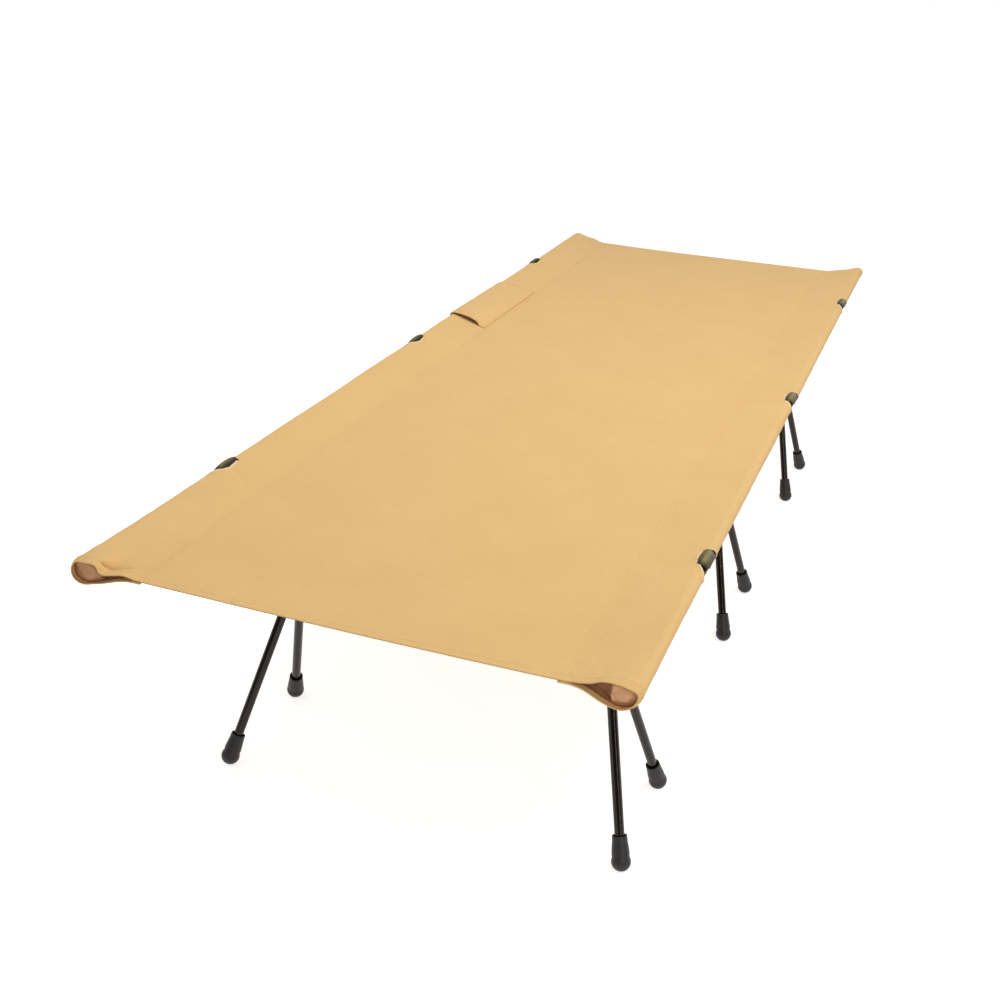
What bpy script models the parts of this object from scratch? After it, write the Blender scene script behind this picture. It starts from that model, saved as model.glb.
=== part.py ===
# Camping cot with a tensioned fabric bed on two side poles and three cross frames, in its high setting.
# Metres, +Z up. X runs across the cot, Y along it from the foot end (-Y) to the head end (+Y).
# The origin is on the ground under the middle of the bed.
# Each cross frame is built in its own coordinates, with x outward from the middle of the cot, and the left
# half is the right half turned half a turn about the vertical.

import math

import bmesh
import bpy
from mathutils import Matrix, Vector

# Whole cot
BED_LENGTH = 1.910
POLE_SPACING = 0.655
POLE_HEIGHT = 0.401
FRAME_SPACING = 0.635
CLEARANCE = 0.0003

# Tubes
POLE_RADIUS = 0.0075
POLE_WALL = 0.0012
TUBE_RADIUS = 0.0065
TUBE_WALL = 0.0010
TUBE_BEVEL_RESOLUTION = 4
SOCKET_RADIUS = 0.0071
BARREL_RADIUS = 0.0095
BARREL_SIDES = 16
BORE_SIDES = 12

# Bed sheet
SHEET_THICKNESS = 0.0010
SEAM_INSET = 0.070
SEAM_OVERLAP = 0.010
PANEL_HEIGHT = 0.398
HEM_INSET_FOOT_END = 0.003
HEM_INSET_HEAD_END = 0.023
MOUTH_SLACK_LENGTH = 0.120
MOUTH_LOWER_LAYER = ((-0.052, -0.0085), (-0.035, -0.0150), (-0.021, -0.0185))
MOUTH_ROUND = ((-0.011, -0.0190), (-0.004, -0.0175), (0.003, -0.0140), (0.0078, -0.0090), (0.0092, -0.0030))
MOUTH_UPPER_LAYER = ((-0.0105, 0.0067), (-0.027, 0.0018), (-0.047, -0.0020))
END_FACE_INSET = 0.0060
CUTOUT_HALF_LENGTH = 0.028
CUTOUT_DEPTH = 0.0195
CUTOUT_DEPTH_BELOW = 0.036

# Storage pocket
POCKET_START = 0.150
POCKET_END = 0.430
POCKET_INNER = 0.2565
POCKET_BULGE = 0.0135

# Ends of the side poles
POLE_END_GAP = 0.0010
CAP_HEAD = 0.0080
CAP_PLUG_LENGTH = 0.015

# Cross frame: the hub, and where a leg's axis leaves it and meets the middle of its foot's ball end
HUB_X = 0.2219
HUB_HEIGHT = 0.262
ARM_JOIN_HEIGHT = 0.270
SPREADER_TILT = 0.12
LEG_HALF_GAP = 0.008
FOOT_X = 0.2832
FOOT_Y = 0.0942
LEG_SOCKET_DEPTH = 0.046
ARM_SOCKET_START = 0.0125
ARM_SOCKET_END = 0.047

# Clips that hook over the side poles. Angles are round the pole, from straight outward, upward first.
CLIP_HALF_WIDTH = 0.012
CLIP_INNER_RADIUS = 0.0079
CLIP_OUTER_RADIUS = 0.0106
CLIP_NIB_RADIUS = 0.0125
CLIP_FROM_DEG = 18
CLIP_TO_DEG = 285
CLIP_BARREL_START = 0.0085
CLIP_BARREL_END = 0.052
CLIP_BORE_START = 0.0165

# Tension lever. Along is down the arm from the pole, and off is square to the arm on its outer side.
LEVER_PIVOT_ALONG = 0.044
LEVER_PIVOT_OFF = 0.0125
LEVER_HALF_WIDTH = 0.0057
LEVER_SLOT_HALF_WIDTH = 0.0060
LEVER_SLOT_RADIUS = 0.0060
LEVER_CAM_RADIUS = 0.0052
LEVER_CAM_OFFSET = 0.0005
EAR_OUTER = 0.0095
PIN_RADIUS = 0.0020
PIN_HOLE_RADIUS = 0.0024
PIN_HEAD_RADIUS = 0.0033
PIN_HALF_LENGTH = 0.0108

# Rubber foot, measured from the middle of its ball end
FOOT_BALL_RADIUS = 0.01275
FOOT_BALL_HEIGHT = 0.0115
FOOT_RIM_RADIUS = 0.0098
FOOT_LENGTH = 0.0338
FOOT_RECESS_RADIUS = 0.0086
FOOT_RECESS_DEPTH = 0.004
FOOT_BORE_RADIUS = 0.0069
FOOT_BORE_START = 0.0020

HALF_SPACING = POLE_SPACING / 2
HALF_LENGTH = BED_LENGTH / 2
SLEEVE_RADIUS = POLE_RADIUS + CLEARANCE + SHEET_THICKNESS / 2
FRAMES = (("foot", -FRAME_SPACING), ("middle", 0.0), ("head", FRAME_SPACING))
SIDES = (("right", 0.0), ("left", math.pi))
LEG_ENDS = (("fore", -1), ("aft", 1))

BED_FABRIC = ((0.76, 0.50, 0.21), 0.9, 0.0)
BLACK_TUBE = ((0.012, 0.012, 0.013), 0.3, 0.9)
BLACK_NYLON = ((0.015, 0.015, 0.016), 0.5, 0.0)
GREY_RUBBER = ((0.035, 0.035, 0.037), 0.75, 0.0)
STEEL = ((0.45, 0.45, 0.46), 0.35, 1.0)


def clear_scene():
    for old in list(bpy.data.objects):
        bpy.data.objects.remove(old, do_unlink=True)


def new_collection(name):
    collection = bpy.data.collections.new(name)
    bpy.context.scene.collection.children.link(collection)
    return collection


def material_for(name, finish):
    colour, roughness, metallic = finish
    material = bpy.data.materials.new(name)
    material.use_nodes = True
    shader = material.node_tree.nodes["Principled BSDF"]
    shader.inputs["Base Color"].default_value = (*colour, 1.0)
    shader.inputs["Roughness"].default_value = roughness
    shader.inputs["Metallic"].default_value = metallic
    return material


def add_object(name, data, collection, finish=None, parent=None, matrix=None):
    obj = bpy.data.objects.new(name, data)
    collection.objects.link(obj)
    obj.parent = parent
    if matrix is not None:
        obj.matrix_basis = matrix
    if finish:
        data.materials.append(material_for(name, finish))
    return obj


def add_helper(name, data, collection):
    helper = add_object(name, data, collection)
    helper.hide_render = True
    helper.display_type = "WIRE"
    return helper


def smooth(mesh, angle_deg=35):
    mesh.shade_smooth()
    mesh.set_sharp_from_angle(angle=math.radians(angle_deg))


def mesh_from(bm, name):
    mesh = bpy.data.meshes.new(name)
    bm.to_mesh(mesh)
    bm.free()
    return mesh


def axis_matrix(origin, direction):
    # Local +Z along direction, and local +Y as near as it can be to the cot's length, or to upright for a
    # direction along the cot.
    z_axis = Vector(direction).normalized()
    side = Vector((0.0, 0.0, 1.0)) if abs(z_axis.y) > 0.99 else Vector((0.0, 1.0, 0.0))
    x_axis = side.cross(z_axis).normalized()
    y_axis = z_axis.cross(x_axis)
    turn = Matrix((x_axis, y_axis, z_axis)).transposed().to_4x4()
    return Matrix.Translation(origin) @ turn


def rod(start, end, radius, sides):
    # A closed cylinder between two points.
    bm = bmesh.new()
    along = Vector(end) - Vector(start)
    bmesh.ops.create_cone(
        bm, cap_ends=True, segments=sides, radius1=radius, radius2=radius, depth=along.length
    )
    middle = (Vector(start) + Vector(end)) / 2
    bmesh.ops.transform(bm, matrix=axis_matrix(middle, along), verts=bm.verts)
    return mesh_from(bm, "rod")


def add_plate(bm, outline, y_low, y_high):
    # A flat outline in x and z with a thickness along Y.
    near = [bm.verts.new((x, y_low, z)) for x, z in outline]
    far = [bm.verts.new((x, y_high, z)) for x, z in outline]
    faces = [bm.faces.new(near), bm.faces.new(far[::-1])]
    for index in range(len(outline)):
        after = (index + 1) % len(outline)
        faces.append(bm.faces.new((near[after], near[index], far[index], far[after])))
    return faces


def plate_across(outline, y_low, y_high):
    bm = bmesh.new()
    add_plate(bm, outline, y_low, y_high)
    bmesh.ops.recalc_face_normals(bm, faces=bm.faces)
    return mesh_from(bm, "plate")


def arc(centre, radius, from_deg, to_deg, steps):
    points = []
    for step in range(steps + 1):
        angle = math.radians(from_deg + (to_deg - from_deg) * step / steps)
        points.append((centre[0] + radius * math.cos(angle), centre[1] + radius * math.sin(angle)))
    return points


def apply_boolean(obj, operation, others):
    # Joins objects to obj, or cuts them from it, and keeps the result as its mesh.
    for other in others:
        modifier = obj.modifiers.new(operation.lower(), "BOOLEAN")
        modifier.operation = operation
        modifier.solver = "EXACT"
        modifier.object = other
    bpy.context.view_layer.update()
    graph = bpy.context.evaluated_depsgraph_get()
    result = bpy.data.meshes.new_from_object(obj.evaluated_get(graph))
    obj.modifiers.clear()
    old = obj.data
    obj.data = result
    bpy.data.meshes.remove(old)


def solid_of(name, joined, cut, collection):
    # One closed mesh from meshes that are joined and meshes that are cut away.
    base = add_object(name, joined[0], collection)
    extra = [add_object(name + " join", mesh, collection) for mesh in joined[1:]]
    apply_boolean(base, "UNION", extra)
    cutters = [add_object(name + " cut", mesh, collection) for mesh in cut]
    apply_boolean(base, "DIFFERENCE", cutters)
    mesh = base.data
    for used in [base, *extra, *cutters]:
        bpy.data.objects.remove(used, do_unlink=True)
    bm = bmesh.new()
    bm.from_mesh(mesh)
    bmesh.ops.remove_doubles(bm, verts=bm.verts, dist=0.00002)
    bmesh.ops.dissolve_degenerate(bm, edges=bm.edges, dist=0.00002)
    bm.to_mesh(mesh)
    bm.free()
    mesh.name = name
    mesh.materials.clear()
    smooth(mesh)
    return mesh


def tube_curve(name, points, radius, wall, collection, parent=None):
    # An open tube along a line, with its wall on the inside.
    curve = bpy.data.curves.new(name, "CURVE")
    curve.dimensions = "3D"
    curve.bevel_depth = radius
    curve.bevel_resolution = TUBE_BEVEL_RESOLUTION
    curve.use_fill_caps = False
    spline = curve.splines.new("POLY")
    spline.points.add(len(points) - 1)
    for point, place in zip(spline.points, points):
        point.co = (*place, 1.0)
    tube = add_object(name, curve, collection, BLACK_TUBE, parent)
    shell = tube.modifiers.new("wall", "SOLIDIFY")
    shell.thickness = wall
    shell.offset = -1.0
    shell.use_rim = True
    return tube


def turned(name, profile, steps, collection, finish, parent=None, matrix=None):
    # A profile of (radius, height) pairs, which runs down its outer side, turned about local Z.
    bm = bmesh.new()
    points = [bm.verts.new((radius, 0.0, height)) for radius, height in profile]
    for first, second in zip(points, points[1:]):
        bm.edges.new((first, second))
    obj = add_object(name, mesh_from(bm, name), collection, finish, parent, matrix)
    screw = obj.modifiers.new("turn", "SCREW")
    screw.steps = steps
    screw.render_steps = steps
    screw.use_merge_vertices = True
    screw.merge_threshold = 0.00005
    screw.use_smooth_shade = True
    return obj


# The arm's line from the pole to the hub, and the direction square to it on its outer, lower side
POLE_POINT = Vector((HALF_SPACING, 0.0, POLE_HEIGHT))
ARM_POINT = Vector((HUB_X, 0.0, ARM_JOIN_HEIGHT))
ARM_DOWN = (ARM_POINT - POLE_POINT).normalized()
ARM_SPAN = (ARM_POINT - POLE_POINT).length
ARM_OFF = Vector((-ARM_DOWN.z, 0.0, ARM_DOWN.x))
SPREADER_IN = Vector((-1.0, 0.0, SPREADER_TILT)).normalized()


def arm_place(along, off, y=0.0):
    return POLE_POINT + ARM_DOWN * along + ARM_OFF * off + Vector((0.0, y, 0.0))


def arm_outline(pairs):
    return [(arm_place(*pair).x, arm_place(*pair).z) for pair in pairs]


def leg_points(end):
    top = Vector((HUB_X, end * LEG_HALF_GAP, HUB_HEIGHT))
    ball = Vector((FOOT_X, end * FOOT_Y, FOOT_BALL_HEIGHT))
    return top, ball


def spreader_points():
    # Straight in each hub's socket, then one shallow arch between the hubs.
    socket_start = ARM_POINT + SPREADER_IN * ARM_SOCKET_START
    socket_end = ARM_POINT + SPREADER_IN * (ARM_SOCKET_END + 0.006)
    crown = socket_end.z + SPREADER_TILT * socket_end.x / 2
    points = [(socket_start.x, 0.0, socket_start.z)]
    for share in (1.0, 0.67, 0.33, 0.0):
        points.append((socket_end.x * share, 0.0, crown - (crown - socket_end.z) * share**2))
    mirrored = [(-x, y, z) for x, y, z in points[-2::-1]]
    return points + mirrored


def hub_mesh(collection):
    # Core block with four socket barrels: up to the clip, in to the spreader and down to two legs.
    core = bmesh.new()
    bmesh.ops.create_cube(core, size=1.0)
    bmesh.ops.scale(core, vec=(0.034, 0.036, 0.027), verts=core.verts)
    bmesh.ops.bevel(core, geom=core.edges[:], offset=0.006, segments=2, profile=0.5, affect="EDGES")
    bmesh.ops.translate(core, vec=(HUB_X, 0.0, HUB_HEIGHT + 0.008), verts=core.verts)
    joined = [mesh_from(core, "core")]
    cut = []
    for direction in (-ARM_DOWN, SPREADER_IN):
        mouth = ARM_POINT + direction * ARM_SOCKET_END
        floor = ARM_POINT + direction * (ARM_SOCKET_START - CLEARANCE)
        joined.append(rod(ARM_POINT, mouth, BARREL_RADIUS, BARREL_SIDES))
        cut.append(rod(floor, mouth + direction * 0.004, SOCKET_RADIUS, BORE_SIDES))
    for _, end in LEG_ENDS:
        top, ball = leg_points(end)
        down = (ball - top).normalized()
        mouth = top + down * LEG_SOCKET_DEPTH
        joined.append(rod(top - down * 0.004, mouth, BARREL_RADIUS, BARREL_SIDES))
        cut.append(rod(top - down * CLEARANCE, mouth + down * 0.004, SOCKET_RADIUS, BORE_SIDES))
    return solid_of("leg hub", joined, cut, collection)


def clip_mesh(collection, has_lever):
    # A hook over the pole, open outward and downward, on a barrel that takes the arm's tube. The lever's
    # clip has two ears for its pin, and a slot through which the cam bears on the tube.
    centre = (POLE_POINT.x, POLE_POINT.z)
    outline = arc(centre, CLIP_NIB_RADIUS, CLIP_FROM_DEG, CLIP_FROM_DEG + 9, 1)
    outline += arc(centre, CLIP_OUTER_RADIUS, CLIP_FROM_DEG + 20, CLIP_TO_DEG, 14)
    outline += arc(centre, CLIP_INNER_RADIUS, CLIP_TO_DEG, CLIP_FROM_DEG, 16)
    joined = [
        plate_across(outline, -CLIP_HALF_WIDTH, CLIP_HALF_WIDTH),
        rod(arm_place(CLIP_BARREL_START, 0), arm_place(CLIP_BARREL_END, 0), BARREL_RADIUS, BARREL_SIDES),
    ]
    bore_start = arm_place(CLIP_BORE_START - CLEARANCE, 0)
    bore_end = arm_place(CLIP_BARREL_END + 0.004, 0)
    cut = [rod(bore_start, bore_end, SOCKET_RADIUS, BORE_SIDES)]
    if not has_lever:
        return solid_of("hook clip", joined, cut, collection)
    along, off = LEVER_PIVOT_ALONG, LEVER_PIVOT_OFF
    ear = arm_outline(((along - 0.009, 0.004), (along + 0.0075, 0.004)))
    ear += arm_outline([(along + x, off + z) for x, z in arc((0, 0), 0.0048, -20, 160, 8)])
    for side in (-1, 1):
        inner, outer = side * LEVER_SLOT_HALF_WIDTH, side * EAR_OUTER
        joined.append(plate_across(ear, min(inner, outer), max(inner, outer)))
    slot = LEVER_SLOT_HALF_WIDTH
    cut.append(rod(arm_place(along, off, -slot), arm_place(along, off, slot), LEVER_SLOT_RADIUS, 16))
    hole = EAR_OUTER + 0.002
    cut.append(rod(arm_place(along, off, -hole), arm_place(along, off, hole), PIN_HOLE_RADIUS, 12))
    return solid_of("lever clip", joined, cut, collection)


def lever_mesh(collection):
    # A cam on the pin, a neck between the ears and a paddle that lies along the arm when it is shut.
    along, off = LEVER_PIVOT_ALONG, LEVER_PIVOT_OFF
    half = LEVER_HALF_WIDTH
    cam_off = off - LEVER_CAM_OFFSET
    cam = rod(arm_place(along, cam_off, -half), arm_place(along, cam_off, half), LEVER_CAM_RADIUS, 16)
    neck_outline = arm_outline(
        ((0.0465, 0.0101), (0.060, 0.0101), (0.060, 0.0148), (0.049, 0.0168), (0.045, 0.0168))
    )
    neck = plate_across(neck_outline, -half, half)
    paddle = bmesh.new()
    sections = (
        (0.0575, 0.0100, 0.0150, 0.0070),
        (0.0700, 0.0100, 0.0145, 0.0100),
        (0.0900, 0.0100, 0.0138, 0.0110),
        (0.1020, 0.0108, 0.0142, 0.0108),
        (0.1120, 0.0135, 0.0162, 0.0085),
    )
    rings = []
    for place_along, low, high, width in sections:
        corner = 0.0012
        ring = (
            (low, -width + corner),
            (low, width - corner),
            (low + corner, width),
            (high - corner, width),
            (high, width - corner),
            (high, -width + corner),
            (high - corner, -width),
            (low + corner, -width),
        )
        rings.append([paddle.verts.new(arm_place(place_along, rise, y)) for rise, y in ring])
    for ring, after in zip(rings, rings[1:]):
        for index in range(8):
            following = (index + 1) % 8
            paddle.faces.new((ring[index], ring[following], after[following], after[index]))
    paddle.faces.new(rings[0])
    paddle.faces.new(rings[-1])
    bmesh.ops.recalc_face_normals(paddle, faces=paddle.faces)
    hole = half + 0.002
    cut = [rod(arm_place(along, off, -hole), arm_place(along, off, hole), PIN_HOLE_RADIUS, 12)]
    return solid_of("tension lever", [cam, neck, mesh_from(paddle, "paddle")], cut, collection)


def sleeve_profile(slack):
    # The sheet's middle line round one pole, in x outward from the pole and z above it, from the lower
    # layer's edge at the seam, round the outer side, to the seam's upper layer. It hugs the pole where slack
    # is 0 and hangs open below it where slack is 1.
    drop = PANEL_HEIGHT - POLE_HEIGHT
    to_seam = math.hypot(SEAM_INSET, drop)
    tilt = math.atan2(-drop, SEAM_INSET)
    upper_slope = math.asin(SLEEVE_RADIUS / to_seam) + tilt
    lower_slope = math.asin(SLEEVE_RADIUS / to_seam) - tilt
    below = drop - SHEET_THICKNESS - CLEARANCE
    tight = [(-SEAM_INSET - SEAM_OVERLAP, below), (-SEAM_INSET, below)]
    for share in (0.3, 0.6, 0.85):
        tight.append((-SEAM_INSET * (1 - share), below - SEAM_INSET * share * math.tan(lower_slope)))
    from_deg = -90 - math.degrees(lower_slope)
    to_deg = 90 + math.degrees(upper_slope)
    tight += arc((0.0, 0.0), SLEEVE_RADIUS, from_deg, to_deg, 10)
    for share in (0.85, 0.6, 0.3, 0.0):
        tight.append((-SEAM_INSET * (1 - share), drop + SEAM_INSET * share * math.tan(upper_slope)))
    hung = tight[:2] + list(MOUTH_LOWER_LAYER) + list(MOUTH_ROUND)
    hung += tight[len(hung) : -4] + list(MOUTH_UPPER_LAYER) + tight[-1:]
    return [
        (x + (to_x - x) * slack, z + (to_z - z) * slack)
        for (x, z), (to_x, to_z) in zip(tight, hung)
    ]


def sheet_profile(slack):
    # The whole middle line, from the left seam's lower layer round both poles to the right seam's.
    right = [(HALF_SPACING + x, POLE_HEIGHT + z) for x, z in sleeve_profile(slack)]
    left = [(-x, z) for x, z in right]
    seam_x = HALF_SPACING - SEAM_INSET
    panel = [(seam_x * share, PANEL_HEIGHT) for share in (-0.9, 0.0, 0.9)]
    return left + panel + right[::-1]


def mouth_slack(y):
    share = max(0.0, 1 - (HALF_LENGTH - abs(y)) / MOUTH_SLACK_LENGTH)
    return share**1.5


def hem_shift(x, y, is_upper):
    # How far the upper layer's end stands in from the sleeve ends, between the seams.
    if not is_upper:
        return 0.0
    near_seam = (HALF_SPACING - SEAM_INSET / 2 - abs(x)) / (SEAM_INSET / 2)
    share = min(1.0, max(0.0, near_seam))
    share = share * share * (3 - 2 * share)
    share *= max(0.0, (abs(y) - 0.79) / (HALF_LENGTH - 0.79))
    return share * HEM_INSET_FOOT_END if y < 0 else -share * HEM_INSET_HEAD_END


def sheet_stations():
    insets = (0.0, 0.012, 0.030, 0.055, 0.085, 0.120, 0.160)
    middle = (0.0, 0.2, 0.4, 0.6)
    positive = sorted([HALF_LENGTH - inset for inset in insets] + list(middle))
    return [-y for y in positive[:0:-1]] + positive


def bed_sheet(collection, cutters):
    stations = sheet_stations()
    count = len(sheet_profile(0.0))
    top_first = len(sleeve_profile(0.0)) - 4
    bm = bmesh.new()
    rows = []
    for y in stations:
        row = []
        for column, (x, z) in enumerate(sheet_profile(mouth_slack(y))):
            is_upper = top_first <= column < count - top_first
            row.append(bm.verts.new((x, y + hem_shift(x, y, is_upper), z)))
        rows.append(row)
    for row, after in zip(rows, rows[1:]):
        for column in range(count - 1):
            bm.faces.new((row[column], row[column + 1], after[column + 1], after[column]))
    sheet = add_object("bed_sheet", mesh_from(bm, "bed sheet"), collection, BED_FABRIC)
    cloth = sheet.modifiers.new("cloth", "SOLIDIFY")
    cloth.thickness = SHEET_THICKNESS
    cloth.offset = 0.0
    cloth.use_even_offset = True
    faces = sheet.modifiers.new("end faces", "BOOLEAN")
    faces.operation = "UNION"
    faces.object = end_faces(cutters)
    for is_upper in (True, False):
        cut = sheet.modifiers.new("cut-outs", "BOOLEAN")
        cut.operation = "DIFFERENCE"
        cut.object = cutout_shapes(cutters, is_upper)
    smooth(sheet.data, 50)
    return sheet


def end_faces(cutters):
    # The cloth that closes each sleeve a little way in from its mouth.
    bm = bmesh.new()
    for y_side in (-1, 1):
        y = y_side * (HALF_LENGTH - END_FACE_INSET)
        outline = [(HALF_SPACING + x, POLE_HEIGHT + z) for x, z in sleeve_profile(mouth_slack(y))]
        outline = outline[2:-1]
        for side in (-1, 1):
            placed = [(side * x, z) for x, z in outline]
            add_plate(bm, placed, y - SHEET_THICKNESS / 2, y + SHEET_THICKNESS / 2)
    bmesh.ops.recalc_face_normals(bm, faces=bm.faces)
    return add_helper("end_faces", mesh_from(bm, "end faces"), cutters)


def cutout_shapes(cutters, is_upper):
    # Half-oval openings in each sleeve: shallow through the upper layer, deep through the lower.
    outer = HALF_SPACING + SLEEVE_RADIUS + SHEET_THICKNESS
    split = POLE_HEIGHT - 0.002
    depth = CUTOUT_DEPTH if is_upper else CUTOUT_DEPTH_BELOW
    low = split if is_upper else POLE_HEIGHT - 0.03
    high = POLE_HEIGHT + 0.03 if is_upper else split + 0.0005
    bm = bmesh.new()
    for _, frame_y in FRAMES:
        for side in (-1, 1):
            made = bmesh.ops.create_cone(
                bm, cap_ends=True, segments=20, radius1=1.0, radius2=1.0, depth=high - low
            )["verts"]
            bmesh.ops.scale(bm, vec=(depth, CUTOUT_HALF_LENGTH, 1.0), verts=made)
            bmesh.ops.translate(bm, vec=(side * outer, frame_y, (low + high) / 2), verts=made)
    name = "cutouts_upper" if is_upper else "cutouts_lower"
    return add_helper(name, mesh_from(bm, name), cutters)


def sheet_top(x):
    # Height of the sheet's top face at x, level with the pole's crown at the edge.
    drop = PANEL_HEIGHT - POLE_HEIGHT
    slope = math.asin(SLEEVE_RADIUS / math.hypot(SEAM_INSET, drop)) + math.atan2(-drop, SEAM_INSET)
    from_seam = max(0.0, abs(x) - (HALF_SPACING - SEAM_INSET))
    ramp = PANEL_HEIGHT + from_seam * math.tan(slope)
    return min(ramp, POLE_HEIGHT + SLEEVE_RADIUS) + SHEET_THICKNESS / 2


def storage_pocket(collection):
    # A patch sewn down on three sides, whose fourth side bulges open towards the foot end.
    columns, rows = 10, 8
    bm = bmesh.new()
    bmesh.ops.create_grid(bm, x_segments=columns, y_segments=rows, size=0.5)
    base = CLEARANCE * 1.6 + SHEET_THICKNESS / 2
    for vert in bm.verts:
        across = vert.co.x + 0.5
        along = vert.co.y + 0.5
        x = -HALF_SPACING + across * (HALF_SPACING - POCKET_INNER)
        y = POCKET_START + along * (POCKET_END - POCKET_START)
        bulge = POCKET_BULGE * math.sin(math.pi * across) ** 0.75 * (1 - along) ** 1.4
        vert.co = (x, y, sheet_top(x) + base + bulge)
    pocket = add_object("storage_pocket", mesh_from(bm, "pocket"), collection, BED_FABRIC)
    cloth = pocket.modifiers.new("cloth", "SOLIDIFY")
    cloth.thickness = SHEET_THICKNESS
    cloth.offset = 0.0
    smooth(pocket.data, 50)
    return pocket


def side_poles(collection):
    tube_end = HALF_LENGTH - END_FACE_INSET - SHEET_THICKNESS / 2 - POLE_END_GAP - CAP_HEAD
    plug = POLE_RADIUS - POLE_WALL - CLEARANCE
    cap_profile = (
        (0.0, CAP_HEAD),
        (POLE_RADIUS * 0.72, CAP_HEAD),
        (POLE_RADIUS, CAP_HEAD * 0.7),
        (POLE_RADIUS, CLEARANCE),
        (plug, CLEARANCE),
        (plug, -CAP_PLUG_LENGTH),
        (0.0, -CAP_PLUG_LENGTH),
    )
    for side_name, turn in SIDES:
        x = HALF_SPACING * math.cos(turn)
        ends = [(x, -tube_end, POLE_HEIGHT), (x, tube_end, POLE_HEIGHT)]
        tube_curve("side_pole_" + side_name, ends, POLE_RADIUS, POLE_WALL, collection)
        for end_name, y_side in (("foot", -1), ("head", 1)):
            place = axis_matrix((x, y_side * tube_end, POLE_HEIGHT), (0.0, y_side, 0.0))
            name = "pole_cap_" + end_name + "_" + side_name
            turned(name, cap_profile, 12, collection, BLACK_NYLON, None, place)


def foot_profile():
    # Up the bore to the recess in the rim, then down the outer side to the ball end.
    ball = FOOT_BALL_RADIUS
    recess = FOOT_LENGTH - FOOT_RECESS_DEPTH
    profile = [
        (0.0, FOOT_BORE_START),
        (FOOT_BORE_RADIUS, FOOT_BORE_START),
        (FOOT_BORE_RADIUS, recess),
        (FOOT_RECESS_RADIUS, recess),
        (FOOT_RECESS_RADIUS, FOOT_LENGTH),
        (FOOT_RIM_RADIUS, FOOT_LENGTH),
        (FOOT_RIM_RADIUS + 0.0008, 0.022),
    ]
    for angle_deg in (30, 4, -26, -56, -76):
        angle = math.radians(angle_deg)
        profile.append((ball * math.cos(angle), ball * math.sin(angle)))
    profile.append((0.0, -ball))
    return profile


def ground_cutter(cutters):
    bm = bmesh.new()
    bmesh.ops.create_cube(bm, size=1.0)
    bmesh.ops.scale(bm, vec=(1.0, 2.0, 0.1), verts=bm.verts)
    bmesh.ops.translate(bm, vec=(0.0, 0.0, -0.05), verts=bm.verts)
    return add_helper("ground_cut", mesh_from(bm, "ground"), cutters)


def leg_with_foot(tail, end, side, collection, ground):
    # The leg slides on its own axis out of the hub's socket, and its foot goes with it.
    top, ball = leg_points(end)
    axis = add_object("leg_axis" + tail, None, collection, None, side, axis_matrix(ball, top - ball))
    tube = [(0.0, 0.0, FOOT_BORE_START + CLEARANCE), (0.0, 0.0, (top - ball).length)]
    tube_curve("leg" + tail, tube, TUBE_RADIUS, TUBE_WALL, collection, axis)
    foot = turned("rubber_foot" + tail, foot_profile(), 12, collection, GREY_RUBBER, axis)
    cut = foot.modifiers.new("ground", "BOOLEAN")
    cut.operation = "DIFFERENCE"
    cut.object = ground


def tension_lever(frame_name, side, meshes, collection):
    pivot = arm_place(LEVER_PIVOT_ALONG, LEVER_PIVOT_OFF)
    hinge = add_object("lever_axis_" + frame_name, None, collection, None, side, Matrix.Translation(pivot))
    lever = meshes["lever"].copy()
    place = Matrix.Translation(-pivot)
    add_object("tension_lever_" + frame_name, lever, collection, BLACK_NYLON, hinge, place)
    pin_profile = (
        (0.0, PIN_HALF_LENGTH),
        (PIN_HEAD_RADIUS, PIN_HALF_LENGTH),
        (PIN_HEAD_RADIUS, EAR_OUTER + CLEARANCE),
        (PIN_RADIUS, EAR_OUTER + CLEARANCE),
        (PIN_RADIUS, -EAR_OUTER - CLEARANCE),
        (PIN_HEAD_RADIUS, -EAR_OUTER - CLEARANCE),
        (PIN_HEAD_RADIUS, -PIN_HALF_LENGTH),
        (0.0, -PIN_HALF_LENGTH),
    )
    place = axis_matrix(pivot, (0.0, 1.0, 0.0))
    turned("lever_pin_" + frame_name, pin_profile, 12, collection, STEEL, side, place)


def cross_frame(frame_name, frame_y, meshes, collection, ground):
    frame = add_object("frame_" + frame_name, None, collection)
    frame.location = (0.0, frame_y, 0.0)
    tube_curve("spreader_" + frame_name, spreader_points(), TUBE_RADIUS, TUBE_WALL, collection, frame)
    for side_name, turn in SIDES:
        tail = "_" + frame_name + "_" + side_name
        side = add_object("side" + tail, None, collection, None, frame, Matrix.Rotation(turn, 4, "Z"))
        add_object("leg_hub" + tail, meshes["hub"].copy(), collection, BLACK_NYLON, side)
        arm = [tuple(arm_place(CLIP_BORE_START, 0)), tuple(arm_place(ARM_SPAN - ARM_SOCKET_START, 0))]
        tube_curve("arm" + tail, arm, TUBE_RADIUS, TUBE_WALL, collection, side)
        if side_name == "right":
            add_object("hook_clip_" + frame_name, meshes["hook"].copy(), collection, BLACK_NYLON, side)
        else:
            clip = meshes["lever clip"].copy()
            add_object("lever_clip_" + frame_name, clip, collection, BLACK_NYLON, side)
            tension_lever(frame_name, side, meshes, collection)
        for end_name, end in LEG_ENDS:
            # Half a turn about the vertical also swaps the two ends.
            end_here = end if side_name == "right" else -end
            leg_with_foot(tail + "_" + end_name, end_here, side, collection, ground)


def main():
    clear_scene()
    cot = new_collection("camping_cot")
    cutters = new_collection("cutters")
    ground = ground_cutter(cutters)
    bed_sheet(cot, cutters)
    storage_pocket(cot)
    side_poles(cot)
    meshes = {
        "hub": hub_mesh(cutters),
        "hook": clip_mesh(cutters, False),
        "lever clip": clip_mesh(cutters, True),
        "lever": lever_mesh(cutters),
    }
    for frame_name, frame_y in FRAMES:
        cross_frame(frame_name, frame_y, meshes, cot, ground)


main()
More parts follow.
